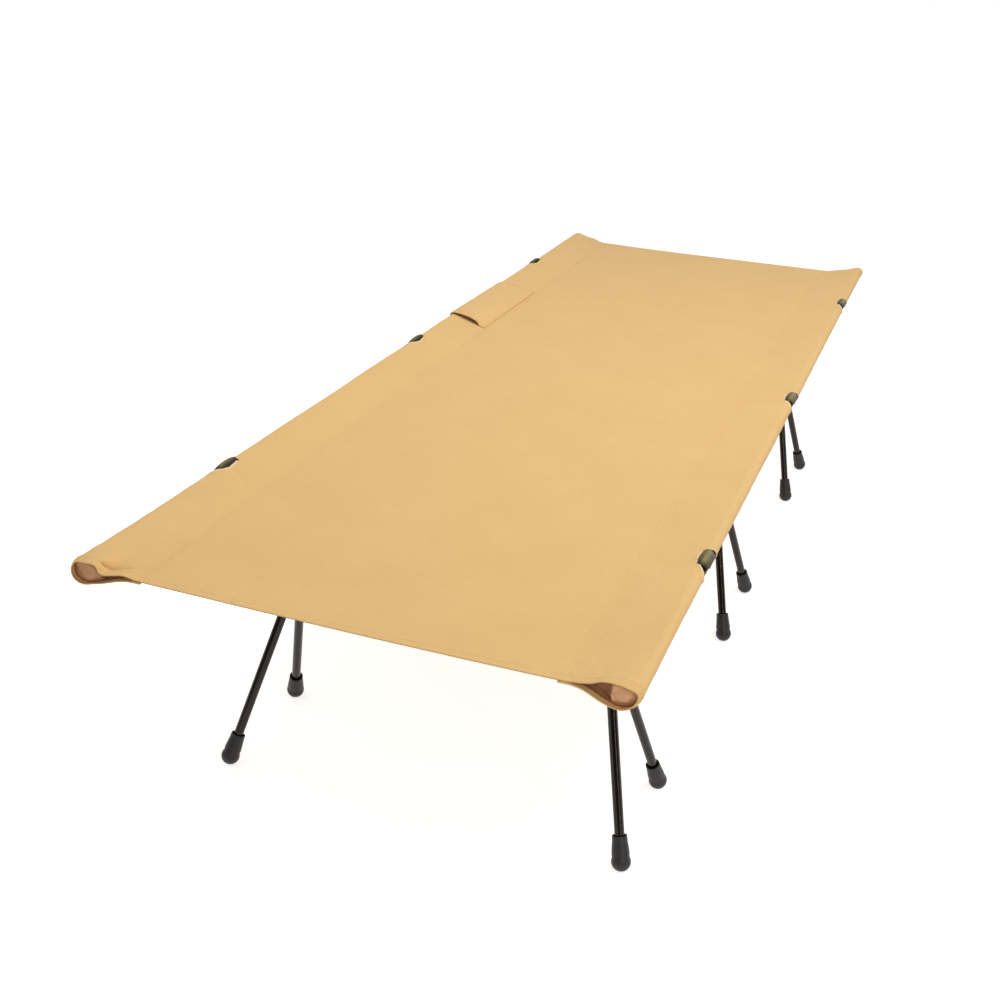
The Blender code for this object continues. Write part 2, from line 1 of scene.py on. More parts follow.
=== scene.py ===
import math
import random

import bmesh
import bpy
import numpy as np
from mathutils import Matrix, Vector


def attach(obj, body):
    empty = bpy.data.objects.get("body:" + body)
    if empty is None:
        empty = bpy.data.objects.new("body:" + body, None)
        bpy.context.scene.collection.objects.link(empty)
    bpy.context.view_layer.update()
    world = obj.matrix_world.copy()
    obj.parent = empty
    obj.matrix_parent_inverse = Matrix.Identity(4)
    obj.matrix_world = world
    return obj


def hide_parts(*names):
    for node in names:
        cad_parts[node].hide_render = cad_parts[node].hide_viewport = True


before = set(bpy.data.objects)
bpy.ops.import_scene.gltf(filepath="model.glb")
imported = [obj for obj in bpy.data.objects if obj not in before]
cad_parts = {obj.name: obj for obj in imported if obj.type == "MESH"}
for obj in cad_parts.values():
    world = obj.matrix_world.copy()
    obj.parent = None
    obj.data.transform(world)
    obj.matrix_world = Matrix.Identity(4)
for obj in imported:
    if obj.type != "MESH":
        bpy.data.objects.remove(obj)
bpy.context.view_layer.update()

# Camping cot: a taut tan bed on two side poles, held up by three black cross frames.
# x runs across the cot, y along it from the foot end to the head end, z up, all in metres.
scene = bpy.context.scene
up = Vector((0.0, 0.0, 1.0))
lengthways = Vector((0.0, 1.0, 0.0))
fullTurn = 2 * math.pi
sides = ((-1, "left"), (1, "right"))
ends = ((-1, "foot"), (1, "head"))
print("frame loaded:", len(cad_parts), "nodes")


# Small helpers

def linearColour(hexText):
    values = [int(hexText[i:i + 2], 16) / 255 for i in (1, 3, 5)]
    return tuple(v / 12.92 if v <= 0.04045 else ((v + 0.055) / 1.055) ** 2.4 for v in values) + (1.0,)


def addNode(tree, kind, links=None, **settings):
    # A node with its settings, and each input either linked from a socket or set to a value
    node = tree.nodes.new("ShaderNode" + kind)
    for name, value in settings.items():
        setattr(node, name, value)
    for socket, source in (links or {}).items():
        if isinstance(source, bpy.types.NodeSocket):
            tree.links.new(source, node.inputs[socket])
        else:
            node.inputs[socket].default_value = source
    return node


def newMaterial(name, finish):
    material = bpy.data.materials.new(name)
    material.use_nodes = True
    shader = material.node_tree.nodes["Principled BSDF"]
    for socket, value in finish.items():
        shader.inputs[socket].default_value = linearColour(value) if isinstance(value, str) else value
    return material, material.node_tree, shader


def toMesh(bm, name):
    mesh = bpy.data.meshes.new(name)
    bm.to_mesh(mesh)
    bm.free()
    return mesh


def addObject(name, data):
    made = bpy.data.objects.new(name, data)
    scene.collection.objects.link(made)
    return made


def addModifier(piece, kind, **settings):
    modifier = piece.modifiers.new(kind.lower(), kind)
    for name, value in settings.items():
        setattr(modifier, name, value)


def evaluatedMesh(made):
    # the mesh that an object's modifiers leave, in place of the object
    bpy.context.view_layer.update()
    graph = bpy.context.evaluated_depsgraph_get()
    mesh = bpy.data.meshes.new_from_object(made.evaluated_get(graph))
    bpy.data.objects.remove(made, do_unlink=True)
    return mesh


def meshPlaces(mesh):
    places = np.zeros(len(mesh.vertices) * 3)
    mesh.vertices.foreach_get("co", places)
    return places.reshape(-1, 3)


def addPiece(name, mesh, material, body, replaced=(), sharpDeg=40):
    piece = addObject(name, mesh)
    mesh.materials.clear()
    mesh.materials.append(material)
    mesh.shade_smooth()
    mesh.set_sharp_from_angle(angle=math.radians(sharpDeg))
    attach(piece, body)
    if replaced:
        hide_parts(*replaced)
    return piece


def addSewn(name, bm, material, replaced=(), sharpDeg=70, thickness=0.0):
    # a piece of the bed's fabric; one made as a single layer gets its thickness here
    bmesh.ops.recalc_face_normals(bm, faces=bm.faces)
    piece = addPiece(name, toMesh(bm, name), material, "cot", replaced, sharpDeg)
    if thickness:
        addModifier(piece, "SOLIDIFY", thickness=thickness, offset=0.0)
    return piece


def axisMatrix(origin, direction):
    # local z along direction, and local y as near as it can be to the cot's length, or else to up
    zAxis = Vector(direction).normalized()
    near = up if abs(zAxis.y) > 0.99 else lengthways
    xAxis = near.cross(zAxis).normalized()
    turn = Matrix((xAxis, zAxis.cross(xAxis), zAxis)).transposed().to_4x4()
    return Matrix.Translation(origin) @ turn


def edgesOf(verts):
    return list(dict.fromkeys(edge for vert in verts for edge in vert.link_edges))


def bevel(bm, edges, offset, segments):
    return bmesh.ops.bevel(
        bm, geom=edges, offset=offset, segments=segments, profile=0.5, affect="EDGES", material=-1
    )["verts"]


def softenRims(bm, verts, axis, offset, segments):
    # a rim's edges lie square to the axis
    rims = [e for e in edgesOf(verts) if abs(e.verts[0].co[axis] - e.verts[1].co[axis]) < 1e-6]
    return bevel(bm, rims, offset, segments)


def moveVerts(bm, verts, matrix):
    bmesh.ops.transform(bm, matrix=matrix, verts=[v for v in dict.fromkeys(verts) if v.is_valid])


def addRod(bm, start, end, radius, sides=40, edge=0.0):
    # a closed cylinder between two points
    along = Vector(end) - Vector(start)
    made = bmesh.ops.create_cone(
        bm, cap_ends=True, segments=sides, radius1=radius, radius2=radius, depth=along.length
    )["verts"]
    if edge:
        made = softenRims(bm, made, 2, edge, 3) + made
    moveVerts(bm, made, axisMatrix((Vector(start) + Vector(end)) / 2, along))


def addBlock(bm, size, matrix, edge):
    made = bmesh.ops.create_cube(bm, size=1.0)["verts"]
    bmesh.ops.scale(bm, vec=size, verts=made)
    made = bevel(bm, edgesOf(made), edge, 3) + made
    moveVerts(bm, made, matrix)


def addLoft(bm, rings):
    # a solid through rings of points, all of one count
    rows = [[bm.verts.new(point) for point in ring] for ring in rings]
    faces = [bm.faces.new(rows[0]), bm.faces.new(rows[-1])]
    for row, after in zip(rows, rows[1:]):
        for k in range(len(row)):
            faces.append(bm.faces.new((row[k - 1], row[k], after[k], after[k - 1])))
    bmesh.ops.recalc_face_normals(bm, faces=faces)
    return [vert for row in rows for vert in row]


def addPlate(bm, outline, yLow, yHigh, edge):
    # a flat outline in x and z, given a thickness along y
    made = addLoft(bm, [[(x, y, z) for x, z in outline] for y in (yLow, yHigh)])
    softenRims(bm, made, 1, edge, 2)


def turnedMesh(name, profile, matrix, steps=48, isRing=False):
    # (radius, height) pairs turned about local z. A ring's profile is joined end to end.
    bm = bmesh.new()
    points = [bm.verts.new((radius, 0.0, height)) for radius, height in profile]
    pairs = list(zip(points, points[1:])) + ([(points[-1], points[0])] if isRing else [])
    edges = [bm.edges.new(pair) for pair in pairs]
    bmesh.ops.spin(
        bm, geom=points + edges, cent=(0, 0, 0), axis=(0, 0, 1), dvec=(0, 0, 0),
        angle=fullTurn, steps=steps, use_merge=True, use_duplicate=False
    )
    bmesh.ops.remove_doubles(bm, verts=bm.verts, dist=0.000002)
    bmesh.ops.recalc_face_normals(bm, faces=bm.faces)
    bmesh.ops.transform(bm, matrix=matrix, verts=bm.verts)
    return toMesh(bm, name)


def moulded(name, solid, cuts, voxel, smoothing):
    # overlapping solids run together as a moulding with soft inner corners, and then bored through
    base = addObject(name, toMesh(solid, name))
    cutter = addObject(name + " cuts", toMesh(cuts, name + " cuts"))
    addModifier(base, "REMESH", mode="VOXEL", voxel_size=voxel)
    addModifier(base, "SMOOTH", factor=0.5, iterations=smoothing)
    addModifier(base, "DECIMATE", ratio=0.45)
    addModifier(base, "BOOLEAN", operation="DIFFERENCE", object=cutter, use_self=True)
    mesh = evaluatedMesh(base)
    bpy.data.objects.remove(cutter, do_unlink=True)
    return mesh


# Materials

def maths(tree, operation, *values):
    return addNode(tree, "Math", dict(enumerate(values)), operation=operation).outputs[0]


def noise(tree, place, scale, detail, roughness=0.5):
    links = {"Vector": place, "Scale": scale, "Detail": detail, "Roughness": roughness}
    return addNode(tree, "TexNoise", links).outputs["Fac"]


def ramped(tree, factor, stops):
    # a colour by its place between stops
    node = addNode(tree, "ValToRGB", {"Fac": factor})
    elements = node.color_ramp.elements
    for position, _ in stops[1:-1]:
        elements.new(position)
    for element, (position, colour) in zip(elements, stops):
        element.position = position
        element.color = linearColour(colour)
    return node.outputs["Color"]


def tintedBy(tree, attribute, colour, tint):
    # the colour, run over to the tint where the mesh's own attribute says so
    share = addNode(tree, "Attribute", attribute_name=attribute).outputs["Fac"]
    links = {"Factor": share, "A": colour, "B": linearColour(tint)}
    return addNode(tree, "Mix", links, data_type="RGBA").outputs["Result"]


def addRelief(tree, shader, height, distance, strength):
    bump = addNode(tree, "Bump", {"Height": height, "Distance": distance, "Strength": strength})
    tree.links.new(bump.outputs["Normal"], shader.inputs["Normal"])


# Plain-woven polyester and cotton canvas, piece-dyed tan: a dull, even face with faint uneven threads.
# Its threads are about 0.4 mm apart, too fine for the picture, so the weave is drawn at 1.5 mm.
clothFinish = {"Roughness": 0.86, "Specular IOR Level": 0.25, "Sheen Weight": 0.12, "Sheen Roughness": 0.5}
# its darkest tone is the painted shade put into hem folds, creases and sleeve-end rims
canvasLook = {
    "deep": "#e0b575", "colour": "#e6bc7b", "pale": "#ebc383", "paintedShadeTone": "#8f6433",
    "threadPitch": 0.0015, "slubWidth": 0.0012, "slubLength": 0.030, "weaveHeight": 0.00012,
    "puckerPitch": 0.0085, "puckerHeight": 0.00010, "puckerBand": 0.007,
}


def wovenCloth(name, look, seamAt=None):
    # The cloth's own flat coordinates, in metres, carry the weave, so it follows every fold
    material, tree, shader = newMaterial(name, clothFinish)
    flat = addNode(tree, "UVMap", uv_map="flat").outputs["UV"]
    axes = addNode(tree, "SeparateXYZ", {"Vector": flat}).outputs
    across, along = axes["X"], axes["Y"]
    turns = math.pi / look["threadPitch"]
    warp = maths(tree, "SINE", maths(tree, "MULTIPLY", across, turns))
    weft = maths(tree, "SINE", maths(tree, "MULTIPLY", along, turns))
    over = maths(tree, "GREATER_THAN", maths(tree, "MULTIPLY", warp, weft), 0.0)
    links = {"Factor": over, "A": maths(tree, "ABSOLUTE", warp), "B": maths(tree, "ABSOLUTE", weft)}
    threads = addNode(tree, "Mix", links, data_type="FLOAT").outputs[0]

    def slubs(acrossScale, alongScale):
        links = {0: flat, 1: (acrossScale, alongScale, 1.0)}
        return noise(tree, addNode(tree, "VectorMath", links, operation="MULTIPLY").outputs[0], 1.0, 2.0, 0.6)

    fine, coarse = 1 / look["slubWidth"], 1 / look["slubLength"]
    slub = maths(tree, "ADD", slubs(fine, coarse), slubs(coarse, fine))
    cloud = noise(tree, flat, 9.0, 3.0, 0.55)
    tone = maths(tree, "ADD", maths(tree, "MULTIPLY", slub, 0.45), maths(tree, "MULTIPLY", cloud, 0.35))
    colour = ramped(tree, tone, ((0.38, look["deep"]), (0.63, look["colour"]), (0.88, look["pale"])))
    # painted shade: the colour runs to the shade tone where the mesh's own attribute says, in hem folds, deep
    # creases, binding undersides and sleeve-end rims
    colour = tintedBy(tree, "turned", colour, look["paintedShadeTone"])
    tree.links.new(colour, shader.inputs["Base Color"])
    height = maths(tree, "MULTIPLY", threads, look["weaveHeight"])
    height = maths(tree, "ADD", height, maths(tree, "MULTIPLY", slub, look["weaveHeight"] * 0.8))
    if seamAt:
        # the stitching draws the cloth up in small puckers along each side seam
        offSeam = maths(tree, "SUBTRACT", maths(tree, "ABSOLUTE", across), seamAt)
        offShare = maths(tree, "POWER", maths(tree, "DIVIDE", offSeam, look["puckerBand"]), 2.0)
        wander = maths(tree, "MULTIPLY", noise(tree, flat, 40.0, 1.0), 9.0)
        phase = maths(tree, "ADD", maths(tree, "MULTIPLY", along, fullTurn / look["puckerPitch"]), wander)
        pucker = maths(tree, "MULTIPLY", maths(tree, "SINE", phase), maths(tree, "POWER", 0.5, offShare))
        height = maths(tree, "ADD", height, maths(tree, "MULTIPLY", pucker, look["puckerHeight"]))
    addRelief(tree, shader, height, 1.0, 0.6)
    return material


pocketCanvas = wovenCloth("tan woven canvas, pocket", canvasLook)
# Bias-cut binding tape, a finer weave worn paler than the bed where it rolls over the edge
bindingLook = dict(canvasLook, deep="#ecd09c", colour="#f3dcb0", pale="#f8e6c2", threadPitch=0.0011)
bindingTape = wovenCloth("pale binding tape", bindingLook)
# The same canvas at the sleeve ends, painted a deeper, redder tan: painted shade and warm bounce inside the
# sleeve
endLook = dict(canvasLook, deep="#dea475", colour="#e6ae80", pale="#ecb88c", paintedShadeTone="#7d4a26")
endCanvas = wovenCloth("tan woven canvas, sleeve end", endLook)


def grained(name, finish, tones, grainSize, grainHeight, wornSize=0.03, paintedHighlight=None):
    # Two close tones in clouds, and a fine grain in relief, on object coordinates in metres.
    # The mesh's own attribute for the paler tone says where a highlight is painted on.
    material, tree, shader = newMaterial(name, finish)
    place = addNode(tree, "TexCoord").outputs["Object"]
    clouds = noise(tree, place, 1 / wornSize, 3.0)
    colour = ramped(tree, clouds, ((0.35, tones[0]), (0.70, tones[1])))
    if paintedHighlight:
        colour = tintedBy(tree, "paintedHighlight", colour, paintedHighlight)
    tree.links.new(colour, shader.inputs["Base Color"])
    grain = noise(tree, place, 1 / grainSize, 2.0, 0.6)
    addRelief(tree, shader, grain, grainHeight, 0.5)
    rough = finish["Roughness"]
    links = {"Value": grain, "To Min": rough - 0.05, "To Max": rough + 0.06}
    roughness = addNode(tree, "MapRange", links).outputs["Result"]
    tree.links.new(roughness, shader.inputs["Roughness"])
    return material


# Drawn aluminium tube, black anodised: nearly black, with a soft sharp-edged highlight down its length
# its tones and specular tint are warmed a little, a painted warm reflection of the tan bed above
anodised = grained(
    "black anodised aluminium",
    {"Roughness": 0.16, "IOR": 1.5, "Specular IOR Level": 0.38, "Specular Tint": "#fff1e8"},
    ("#110d0c", "#1a1513"), 0.0012, 0.00002
)
# The side poles' tube: metal with an olive grey tint, so it mirrors in bands; the tint is a painted
# reflection of the tan bed
oliveTube = grained(
    "olive tinted aluminium, painted reflection", {"Roughness": 0.28, "Metallic": 1.0, "Specular Tint": "#a89e84"},
    ("#5b4f31", "#6a5e3e"), 0.0012, 0.00002
)
# Glass-filled nylon of the clips that show in the cut-outs: dark bronze, satin from a polished mould,
# with a painted highlight in a paler olive on its crown
bronzeNylon = grained(
    "moulded bronze grey nylon", {"Roughness": 0.34, "IOR": 1.45, "Specular IOR Level": 0.20},
    ("#221c0f", "#2d2615"), 0.0010, 0.00003, paintedHighlight="#8a7b4c"
)
# Glass-filled nylon, injection moulded: dull black with a fine spark-eroded grain
nylon = grained(
    "moulded black nylon", {"Roughness": 0.42, "IOR": 1.52}, ("#121213", "#1b1b1c"), 0.0009, 0.00005
)
# Moulded rubber: dark grey, with the soft shine of its mould and a little dust
rubber = grained(
    "grey moulded rubber", {"Roughness": 0.46, "IOR": 1.5, "Specular IOR Level": 0.40},
    ("#232121", "#2d2a2b"), 0.0014, 0.00006, 0.02
)
# Stainless steel pin, turned: bright, with faint lathe marks
steel = grained(
    "turned stainless steel", {"Roughness": 0.3, "Metallic": 1.0}, ("#9a9a9c", "#b4b4b6"), 0.0006, 0.00002
)
# Bonded polyester sewing thread, twisted, a shade deeper than the cloth
thread = grained(
    "tan sewing thread", {"Roughness": 0.6, "IOR": 1.5}, ("#dcb274", "#e4ba7c"), 0.0006, 0.00008, 0.01
)
print("materials made")


# Bed cloth

bed = {
    "poleX": 0.3275, "poleZ": 0.401, "sleeveRadius": 0.0083, "seamInset": 0.070, "panelZ": 0.398,
    "overlap": 0.010, "layerGap": 0.0013, "halfLength": 0.955, "thickness": 0.0009, "sag": 0.0018,
    "stations": (-0.635, 0.0, 0.635), "cutHalfLength": 0.030, "cutTail": 0.010, "cutAbove": 0.0203,
    "cutBelow": 0.0360, "cutMargin": 0.016,
}
# How it leaves its taut form towards the ends: slack in the sleeves, a hem that curls in, and an edge
# that is drawn in over the poles
drape = {
    "slackLength": 0.120, "upperPower": 3.2, "lowerPower": 1.5, "powerFrom": -0.010, "powerTo": 0.020,
    "curlLength": 0.009, "curlIn": 0.0030, "curlCentre": (-0.010, -0.005), "curlFrom": -0.040,
    "curlTo": -0.020, "drawnFrom": 0.79, "drawnFoot": 0.0045, "drawnHead": 0.024,
    "lowerDrawn": 0.6, "lowerFrom": 0.125, "lowerTo": 0.155,
}
seamX = bed["poleX"] - bed["seamInset"]
canvas = wovenCloth("tan woven canvas", canvasLook, seamAt=seamX)
stations = tuple(zip(bed["stations"], ("foot", "middle", "head")))

# Each sleeve mouth hangs in a shape of its own: (outward from the pole, above it), from the seam, over the
# pole's line and round underneath. crown is the index of the point over the pole.
footLeftMouth = {"crown": 9, "path": (
    (-0.0700, -0.0030), (-0.0560, 0.0004), (-0.0440, -0.0008), (-0.0335, -0.0028), (-0.0281, -0.0016),
    (-0.0257, 0.0040), (-0.0233, 0.0087), (-0.0170, 0.0108), (-0.0060, 0.0106), (0.0028, 0.0097),
    (0.0098, 0.0062), (0.0140, 0.0000), (0.0153, -0.0072), (0.0137, -0.0148), (0.0082, -0.0208),
    (-0.0010, -0.0238), (-0.0130, -0.0222), (-0.0265, -0.0172), (-0.0400, -0.0110), (-0.0530, -0.0074),
    (-0.0620, -0.0062), (-0.0700, -0.0059), (-0.0780, -0.0059),
)}
footRightMouth = {"crown": 7, "path": (
    (-0.0700, -0.0030), (-0.0580, -0.0006), (-0.0445, 0.0036), (-0.0350, 0.0088), (-0.0240, 0.0114),
    (-0.0150, 0.0117), (-0.0070, 0.0106), (-0.0008, 0.0088), (0.0048, 0.0064), (0.0077, 0.0025),
    (0.0079, -0.0028), (0.0062, -0.0090), (0.0022, -0.0153), (-0.0035, -0.0198), (-0.0110, -0.0227),
    (-0.0195, -0.0224), (-0.0295, -0.0184), (-0.0400, -0.0127), (-0.0510, -0.0080), (-0.0610, -0.0062),
    (-0.0700, -0.0059), (-0.0810, -0.0059),
)}
headMouth = {"crown": 4, "path": (
    (-0.0700, -0.0030), (-0.0480, -0.0026), (-0.0290, 0.0002), (-0.0130, 0.0060), (-0.0020, 0.0086),
    (0.0055, 0.0064), (0.0090, 0.0008), (0.0086, -0.0060), (0.0045, -0.0118), (-0.0030, -0.0165),
    (-0.0120, -0.0185), (-0.0230, -0.0172), (-0.0360, -0.0132), (-0.0520, -0.0084), (-0.0700, -0.0060),
    (-0.0800, -0.0059),
)}
mouths = {(-1, -1): footLeftMouth, (-1, 1): footRightMouth, (1, -1): headMouth, (1, 1): headMouth}


def smoothCurve(control, perSpan=10):
    # a smooth line through its points
    p = [np.array(c, float) for c in control]
    p = [2 * p[0] - p[1], *p, 2 * p[-1] - p[-2]]
    line = []
    for a, b, c, d in zip(p, p[1:], p[2:], p[3:]):
        for k in range(perSpan):
            t = k / perSpan
            curve = (2 * a - 5 * b + 4 * c - d) * t**2 + (3 * b - a - 3 * c + d) * t**3
            line.append(0.5 * (2 * b + (c - a) * t + curve))
    return np.array([*line, p[-2]])


def lengthsAlong(points):
    return np.concatenate([[0.0], np.cumsum(np.hypot(*np.diff(points, axis=0).T))])


def tightSection():
    # the sleeve drawn tight over the pole, from the upper layer's seam round to the lower layer's edge
    drop = bed["panelZ"] - bed["poleZ"]
    inset, radius = bed["seamInset"], bed["sleeveRadius"]
    lean = math.asin(radius / math.hypot(inset, drop))
    tilt = math.atan2(-drop, inset)
    turns = np.linspace(math.pi / 2 + lean + tilt, -math.pi / 2 - lean + tilt, 61)
    points = [(-inset, drop), *zip(radius * np.cos(turns), radius * np.sin(turns))]
    points += [(-inset, drop - bed["layerGap"]), (-inset - bed["overlap"], drop - bed["layerGap"])]
    points = np.array(points)
    crown = lengthsAlong(points)[1] + radius * (lean + tilt)
    return points, crown


tightPath, crownAt = tightSection()
tightAt = lengthsAlong(tightPath)
sleeveLength = tightAt[-1]
sections = {}
for corner, mouth in mouths.items():
    line = smoothCurve(mouth["path"])
    lineAt = lengthsAlong(line)
    lineAt = np.interp(lineAt, [0.0, lineAt[mouth["crown"] * 10], lineAt[-1]], [0.0, crownAt, sleeveLength])
    sections[corner] = (lineAt, line)
clothHalfWidth = seamX + sleeveLength
outerAt = seamX + crownAt + bed["sleeveRadius"] * math.pi / 2
print("sleeve section is", round(sleeveLength * 1000, 1), "mm round")


def rising(value, low, high):
    # 0 up to low, 1 from high on, and straight between
    return np.clip((value - low) / (high - low), 0.0, 1.0)


def hung(s, v):
    # where the flat cloth's point lies: s across from its middle line, v along
    side, end = np.where(s < 0, -1.0, 1.0), np.where(v < 0, -1, 1)
    across, fromMiddle = np.abs(s), np.abs(v)
    t = np.clip(across - seamX, 0.0, sleeveLength)
    x = np.interp(t, tightAt, tightPath[:, 0])
    z = np.interp(t, tightAt, tightPath[:, 1])
    # the upper layer settles on the pole sooner than the lower one
    isUnder = rising(t, crownAt + drape["powerFrom"], crownAt + drape["powerTo"])
    power = drape["upperPower"] + (drape["lowerPower"] - drape["upperPower"]) * isUnder
    slack = rising(fromMiddle, bed["halfLength"] - drape["slackLength"], bed["halfLength"]) ** power
    moveX, moveZ = np.zeros_like(x), np.zeros_like(z)
    for corner, (lineAt, line) in sections.items():
        here = slack * (end == corner[0]) * (side == corner[1])
        moveX += here * (np.interp(t, lineAt, line[:, 0]) - x)
        moveZ += here * (np.interp(t, lineAt, line[:, 1]) - z)
    x, z = x + moveX, z + moveZ
    # the hem curls in, over the loop only and not where the two layers lie together
    curl = rising(fromMiddle, bed["halfLength"] - drape["curlLength"], bed["halfLength"]) ** 2
    curl = drape["curlIn"] * curl * rising(x, drape["curlFrom"], drape["curlTo"])
    outX, outZ = x - drape["curlCentre"][0], z - drape["curlCentre"][1]
    away = np.maximum(np.hypot(outX, outZ), 1e-6)
    x, z = x - curl * outX / away, z - curl * outZ / away
    isPanel = across <= seamX
    worldX = np.where(isPanel, across, bed["poleX"] + x)
    worldZ = np.where(isPanel, bed["panelZ"], bed["poleZ"] + z)
    # the end's edge runs in a curve between the poles, less in the foot end's lower layer
    lower = drape["lowerDrawn"] * rising(t, drape["lowerFrom"], drape["lowerTo"])
    share = rising(worldX, bed["poleX"] - bed["seamInset"] / 2, bed["poleX"] - bed["seamInset"])
    share = share * share * (3 - 2 * share) * np.where((t < crownAt) | (v > 0), 1.0, lower)
    share = share * rising(fromMiddle, drape["drawnFrom"], bed["halfLength"])
    worldY = v + share * np.where(v < 0, drape["drawnFoot"], -drape["drawnHead"])
    return np.stack([side * worldX, worldY, worldZ], axis=-1)


# Folds in the upper layer: from, to, half width, height. A minus height is a valley.
folds = [
    ((0.292, -0.937), (0.264, -0.900), 0.0045, -0.0016),
    ((0.284, -0.934), (0.258, -0.897), 0.0050, 0.0010),
    ((0.300, -0.930), (0.262, -0.850), 0.0110, -0.0011),
    ((0.318, -0.925), (0.300, -0.850), 0.0070, 0.0007),
    ((0.270, -0.925), (0.195, -0.893), 0.0070, -0.0008),
    ((-0.328, -0.934), (-0.268, -0.889), 0.0036, -0.0020),
    ((-0.304, -0.944), (-0.230, -0.914), 0.0036, -0.0044),
    ((-0.322, -0.930), (-0.262, -0.868), 0.0050, 0.0012),
    ((-0.300, -0.950), (-0.225, -0.938), 0.0030, 0.0010),
    ((0.320, 0.925), (0.262, 0.880), 0.0060, -0.0010),
    ((0.305, 0.935), (0.235, 0.915), 0.0060, 0.0007),
    ((-0.320, 0.925), (-0.258, 0.875), 0.0060, -0.0010),
    ((-0.305, 0.935), (-0.240, 0.918), 0.0060, 0.0007),
]
for station, _ in stations:
    for side, _ in sides:
        folds += [
            ((side * 0.3175, station - 0.006), (side * 0.2640, station - 0.044), 0.0048, -0.0017),
            ((side * 0.3175, station + 0.003), (side * 0.2700, station - 0.020), 0.0042, 0.0008),
            ((side * 0.3220, station - 0.024), (side * 0.2850, station - 0.066), 0.0048, 0.0008),
            ((side * 0.3200, station + 0.022), (side * 0.2840, station + 0.050), 0.0050, -0.0008),
            ((side * 0.3180, station + 0.010), (side * 0.2780, station + 0.022), 0.0050, 0.0006),
        ]


def wave(s, v, rng, size, count=7):
    # soft seeded ripples of about one size
    total = np.zeros_like(s)
    for _ in range(count):
        turn = rng.uniform(0, math.pi)
        length = size * rng.uniform(0.7, 1.5)
        phase = rng.uniform(0, fullTurn)
        total += np.sin((s * math.cos(turn) + v * math.sin(turn)) * fullTurn / length + phase)
    return total / math.sqrt(count)


def foldHeight(s, v):
    height = np.zeros_like(s)
    for (fromS, fromV), (toS, toV), width, rise in folds:
        runS, runV = toS - fromS, toV - fromV
        length = math.hypot(runS, runV)
        along = ((s - fromS) * runS + (v - fromV) * runV) / length**2
        off = ((s - fromS) * runV - (v - fromV) * runS) / length
        before = np.clip(-along * length, 0.0, None)
        fade = np.clip(1 - np.clip(along, 0.0, 1.0), 0.0, 1.0) ** 1.1 * np.exp(-((before / 0.004) ** 2))
        spread = width * (1 + 0.8 * np.clip(along, 0.0, 1.0))
        height += rise * fade * np.exp(-((off / spread) ** 2))
    return height


def wrinkle(s, v):
    # height of the cloth off its taut form
    across = np.abs(s)
    rng = random.Random(4)
    height = -bed["sag"] * np.clip(1 - (across / seamX) ** 2, 0.0, 1.0)
    height += 0.00030 * wave(s * 0.4, v, rng, 0.22) * np.clip((clothHalfWidth - across) / 0.05, 0.0, 1.0)
    height += 0.00010 * wave(s * 0.5, v, rng, 0.055)
    height += foldHeight(s, v)
    # little gathers over the pole, where the sleeve is drawn tight
    crownBand = np.exp(-(((across - seamX - crownAt - 0.003) / 0.011) ** 2))
    gather = wave(s * 0.25, v, rng, 0.030, 5)
    height += 0.00022 * crownBand * gather
    return height


def onCloth(points):
    # points are (s, v, h): across and along the flat cloth, and above its middle surface
    points = np.asarray(points, float)
    s, v, h = points[:, 0], points[:, 1], points[:, 2]
    step = 0.0008
    place = hung(s, v)
    acrossCloth = hung(s + step, v) - hung(s - step, v)
    alongCloth = hung(s, v + step) - hung(s, v - step)
    normal = np.cross(acrossCloth, alongCloth)
    normal /= np.linalg.norm(normal, axis=1)[:, None]
    return place + normal * (h + wrinkle(s, v))[:, None]


def vertPlaces(bm):
    return np.array([vert.co for vert in bm.verts])


def keepFlat(bm, axes=(0, 1)):
    # the flat place becomes the UV, in metres
    uv = bm.loops.layers.uv.new("flat")
    for face in bm.faces:
        for loop in face.loops:
            loop[uv].uv = [loop.vert.co[axis] for axis in axes]


def hang(bm):
    # moves each point of the flat cloth to where it hangs
    keepFlat(bm)
    for vert, place in zip(bm.verts, onCloth(vertPlaces(bm))):
        vert.co = place


def steps(start, end, size):
    count = max(1, round(abs(end - start) / size))
    return [start + (end - start) * k / count for k in range(count)]


def mirrored(half):
    return [-place for place in half[:0:-1]] + half


def clothColumns():
    crown = seamX + crownAt - 0.004
    bendEnd = outerAt + bed["sleeveRadius"] * math.pi / 2 + 0.003
    half = steps(0.0, 0.234, 0.0120) + steps(0.234, seamX, 0.0045) + steps(seamX, crown, 0.0036)
    half += steps(crown, bendEnd, 0.0022) + steps(bendEnd, clothHalfWidth, 0.0062) + [clothHalfWidth]
    return mirrored(half)


def clothRows():
    # finer at the cut-outs and towards the ends
    marks = (0.0, 0.058, 0.577, 0.693, 0.875, 0.925, bed["halfLength"])
    half = []
    for start, end, size in zip(marks, marks[1:], (0.0034, 0.0120, 0.0034, 0.0080, 0.0048, 0.0032)):
        half += steps(start, end, size)
    return mirrored(half + [bed["halfLength"]])


def unevenGrid(columns, rows):
    # a grid whose lines are then moved to the places given
    bm = bmesh.new()
    bmesh.ops.create_grid(bm, x_segments=len(columns) - 1, y_segments=len(rows) - 1, size=0.5)
    for vert in bm.verts:
        column = round((vert.co.x + 0.5) * (len(columns) - 1))
        row = round((vert.co.y + 0.5) * (len(rows) - 1))
        vert.co = (columns[column], rows[row], 0.0)
    return bm


def ovalPoint(side, station, angle, grow=0.0):
    # on the cut-out's edge in the flat cloth: deeper in the lower layer than in the upper, its foot end
    # drawn to a point
    reach = bed["cutAbove"] if math.cos(angle) < 0 else bed["cutBelow"]
    tail = max(0.0, -math.sin(angle))
    slimmer = abs(math.cos(angle)) ** (1.0 + 0.55 * tail)
    outward = math.copysign(reach * slimmer + grow * abs(math.cos(angle)), math.cos(angle))
    v = (bed["cutHalfLength"] + bed["cutTail"] * tail**2 + grow) * math.sin(angle)
    return side * (outerAt + outward), station + v


